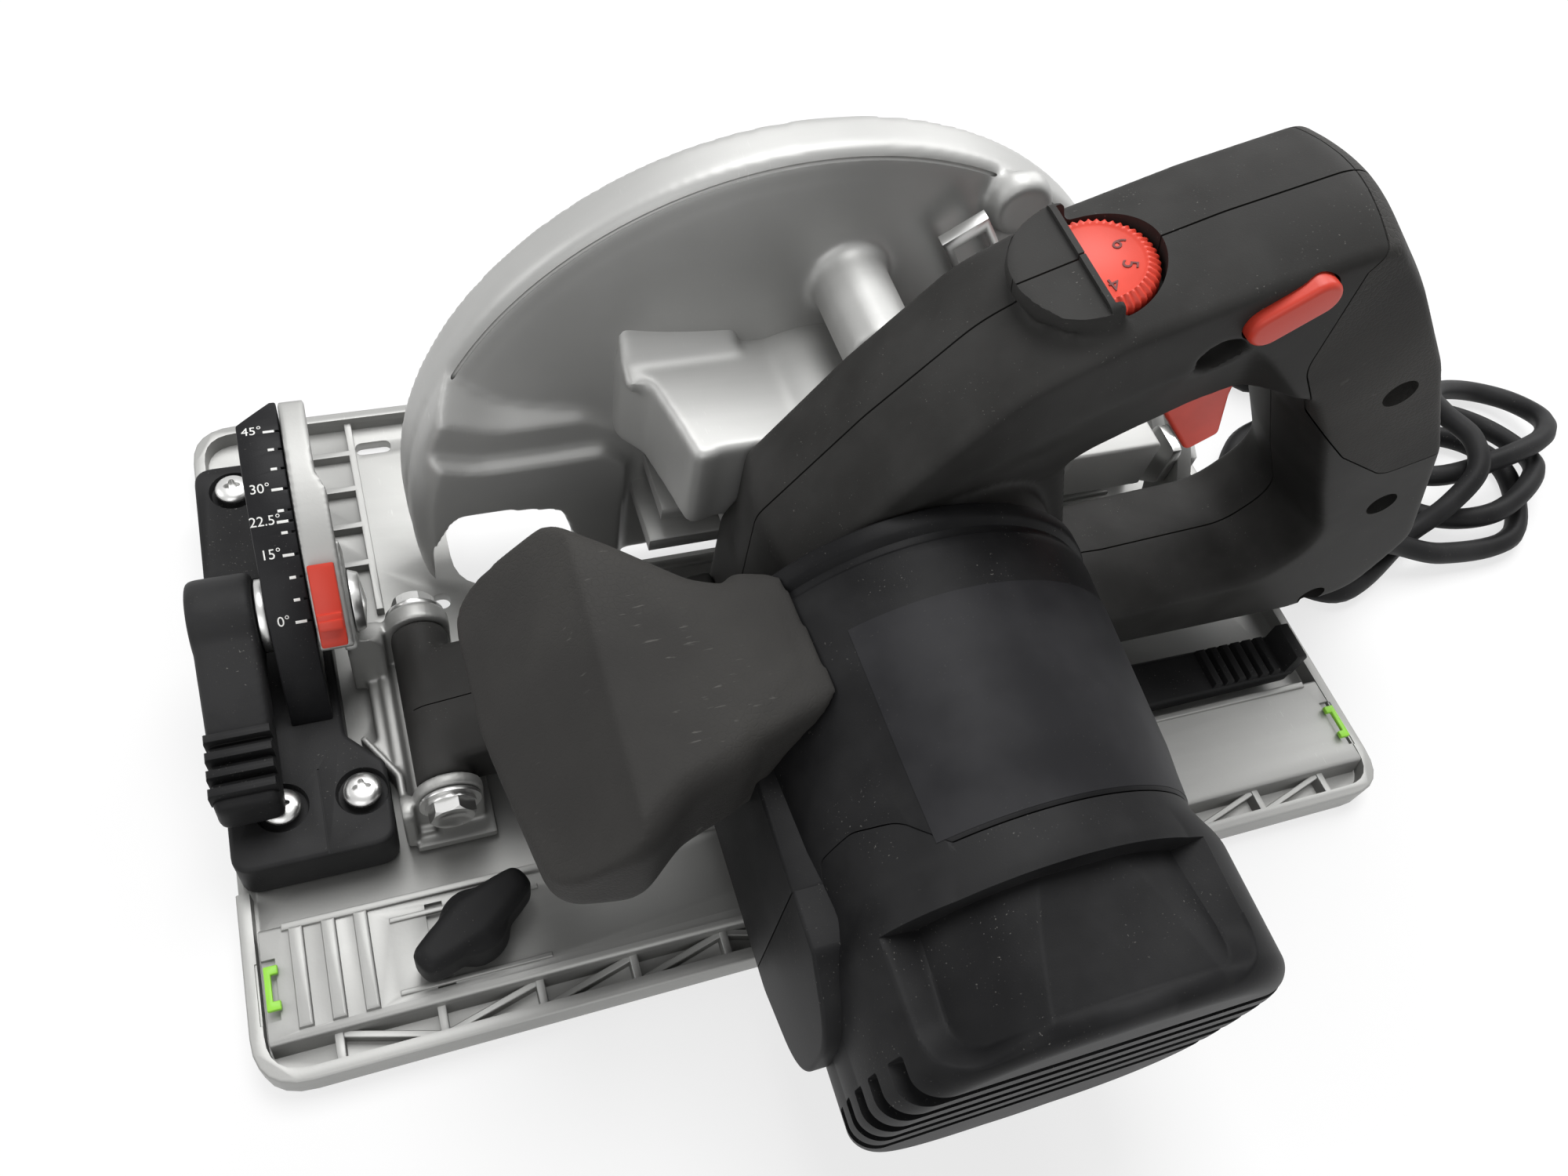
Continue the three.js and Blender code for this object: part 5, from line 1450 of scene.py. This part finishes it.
finish(dial_wheel(), RED, "dial", "control_red", ["speed_dial"], angle=50)
DIGIT_ANGLES = (122, 174, 226, 278, 330, 22)
numbers = []
for count, degrees in enumerate(DIGIT_ANGLES, 1):
    mesh = raised_text(str(count), 4.4, 0.3)
    upright = Matrix.Translation((6.4, 0, 2.95)) @ Matrix.Rotation(np.radians(-90), 4, "Z")
    mesh.transform(Matrix.Scale(MM, 4) @ (Matrix.Rotation(np.radians(degrees), 4, "Z") @ upright))
    numbers.append(mesh)
digits = moved(gather("dial_digits", numbers), DIAL["slope"], DIAL["x"], SEAM, DIAL["z"])
finish(digits, DIAL_MARKS, "dial", "control_red")


# %% Depth lever and small fittings
def depth_lever():
    clamp = (64.76, 11.08)
    made = turned("thumb_lever", "y", clamp,
                  [(0, -55.7), (6.6, -55.7), (7.2, -55), (7.2, -41.6), (6.8, -41), (0, -41)], 48)
    blade = prism("blade", "z", [(60, -55.5), (140, -55, 4), (140, -42, 4), (60, -41)], 7, 12, 1.0, steps=3)
    ribs = [block("rib", x - 1.3, x + 1.3, -54.4, -42.6, 11, 14.4, 0.9)
            for x in (112, 116, 120, 124, 128, 132)]
    stop = block("stop", 135.5, 139.4, -54.4, -42.6, 8, 20, 1.2)
    join(made, blade, *ribs, stop)
    carve(made, rod("y", clamp, 4.1, -70, -20, 32))
    return crisp(made, 0.3, 2, 35)


finish(depth_lever(), BLOCK, "depth_clamp", "block_plastic", ["depth_lever"])
from_cad(0.6, BLOCK, "shaft_lock", "housing_plastic", "spindle_lock", segments=3)
from_cad(0.4, BRIGHT_STEEL, "saw_body", "bright_steel", "depth_bolt", "depth_nut")
from_cad(0.3, BRIGHT_STEEL, "spindle_assembly", "bright_steel", "spindle", "inner_flange", "outer_flange")
from_cad(0.3, DARK_STEEL, "spindle_assembly", "dark_steel", "spindle_gear", "arbor_bolt")
dress(BRIGHT_STEEL, "motor_shaft")
dress(COPPER, "armature", "commutator")
dress(IRON, "stator")
dress(HOUSING, "fan", "switch_body")
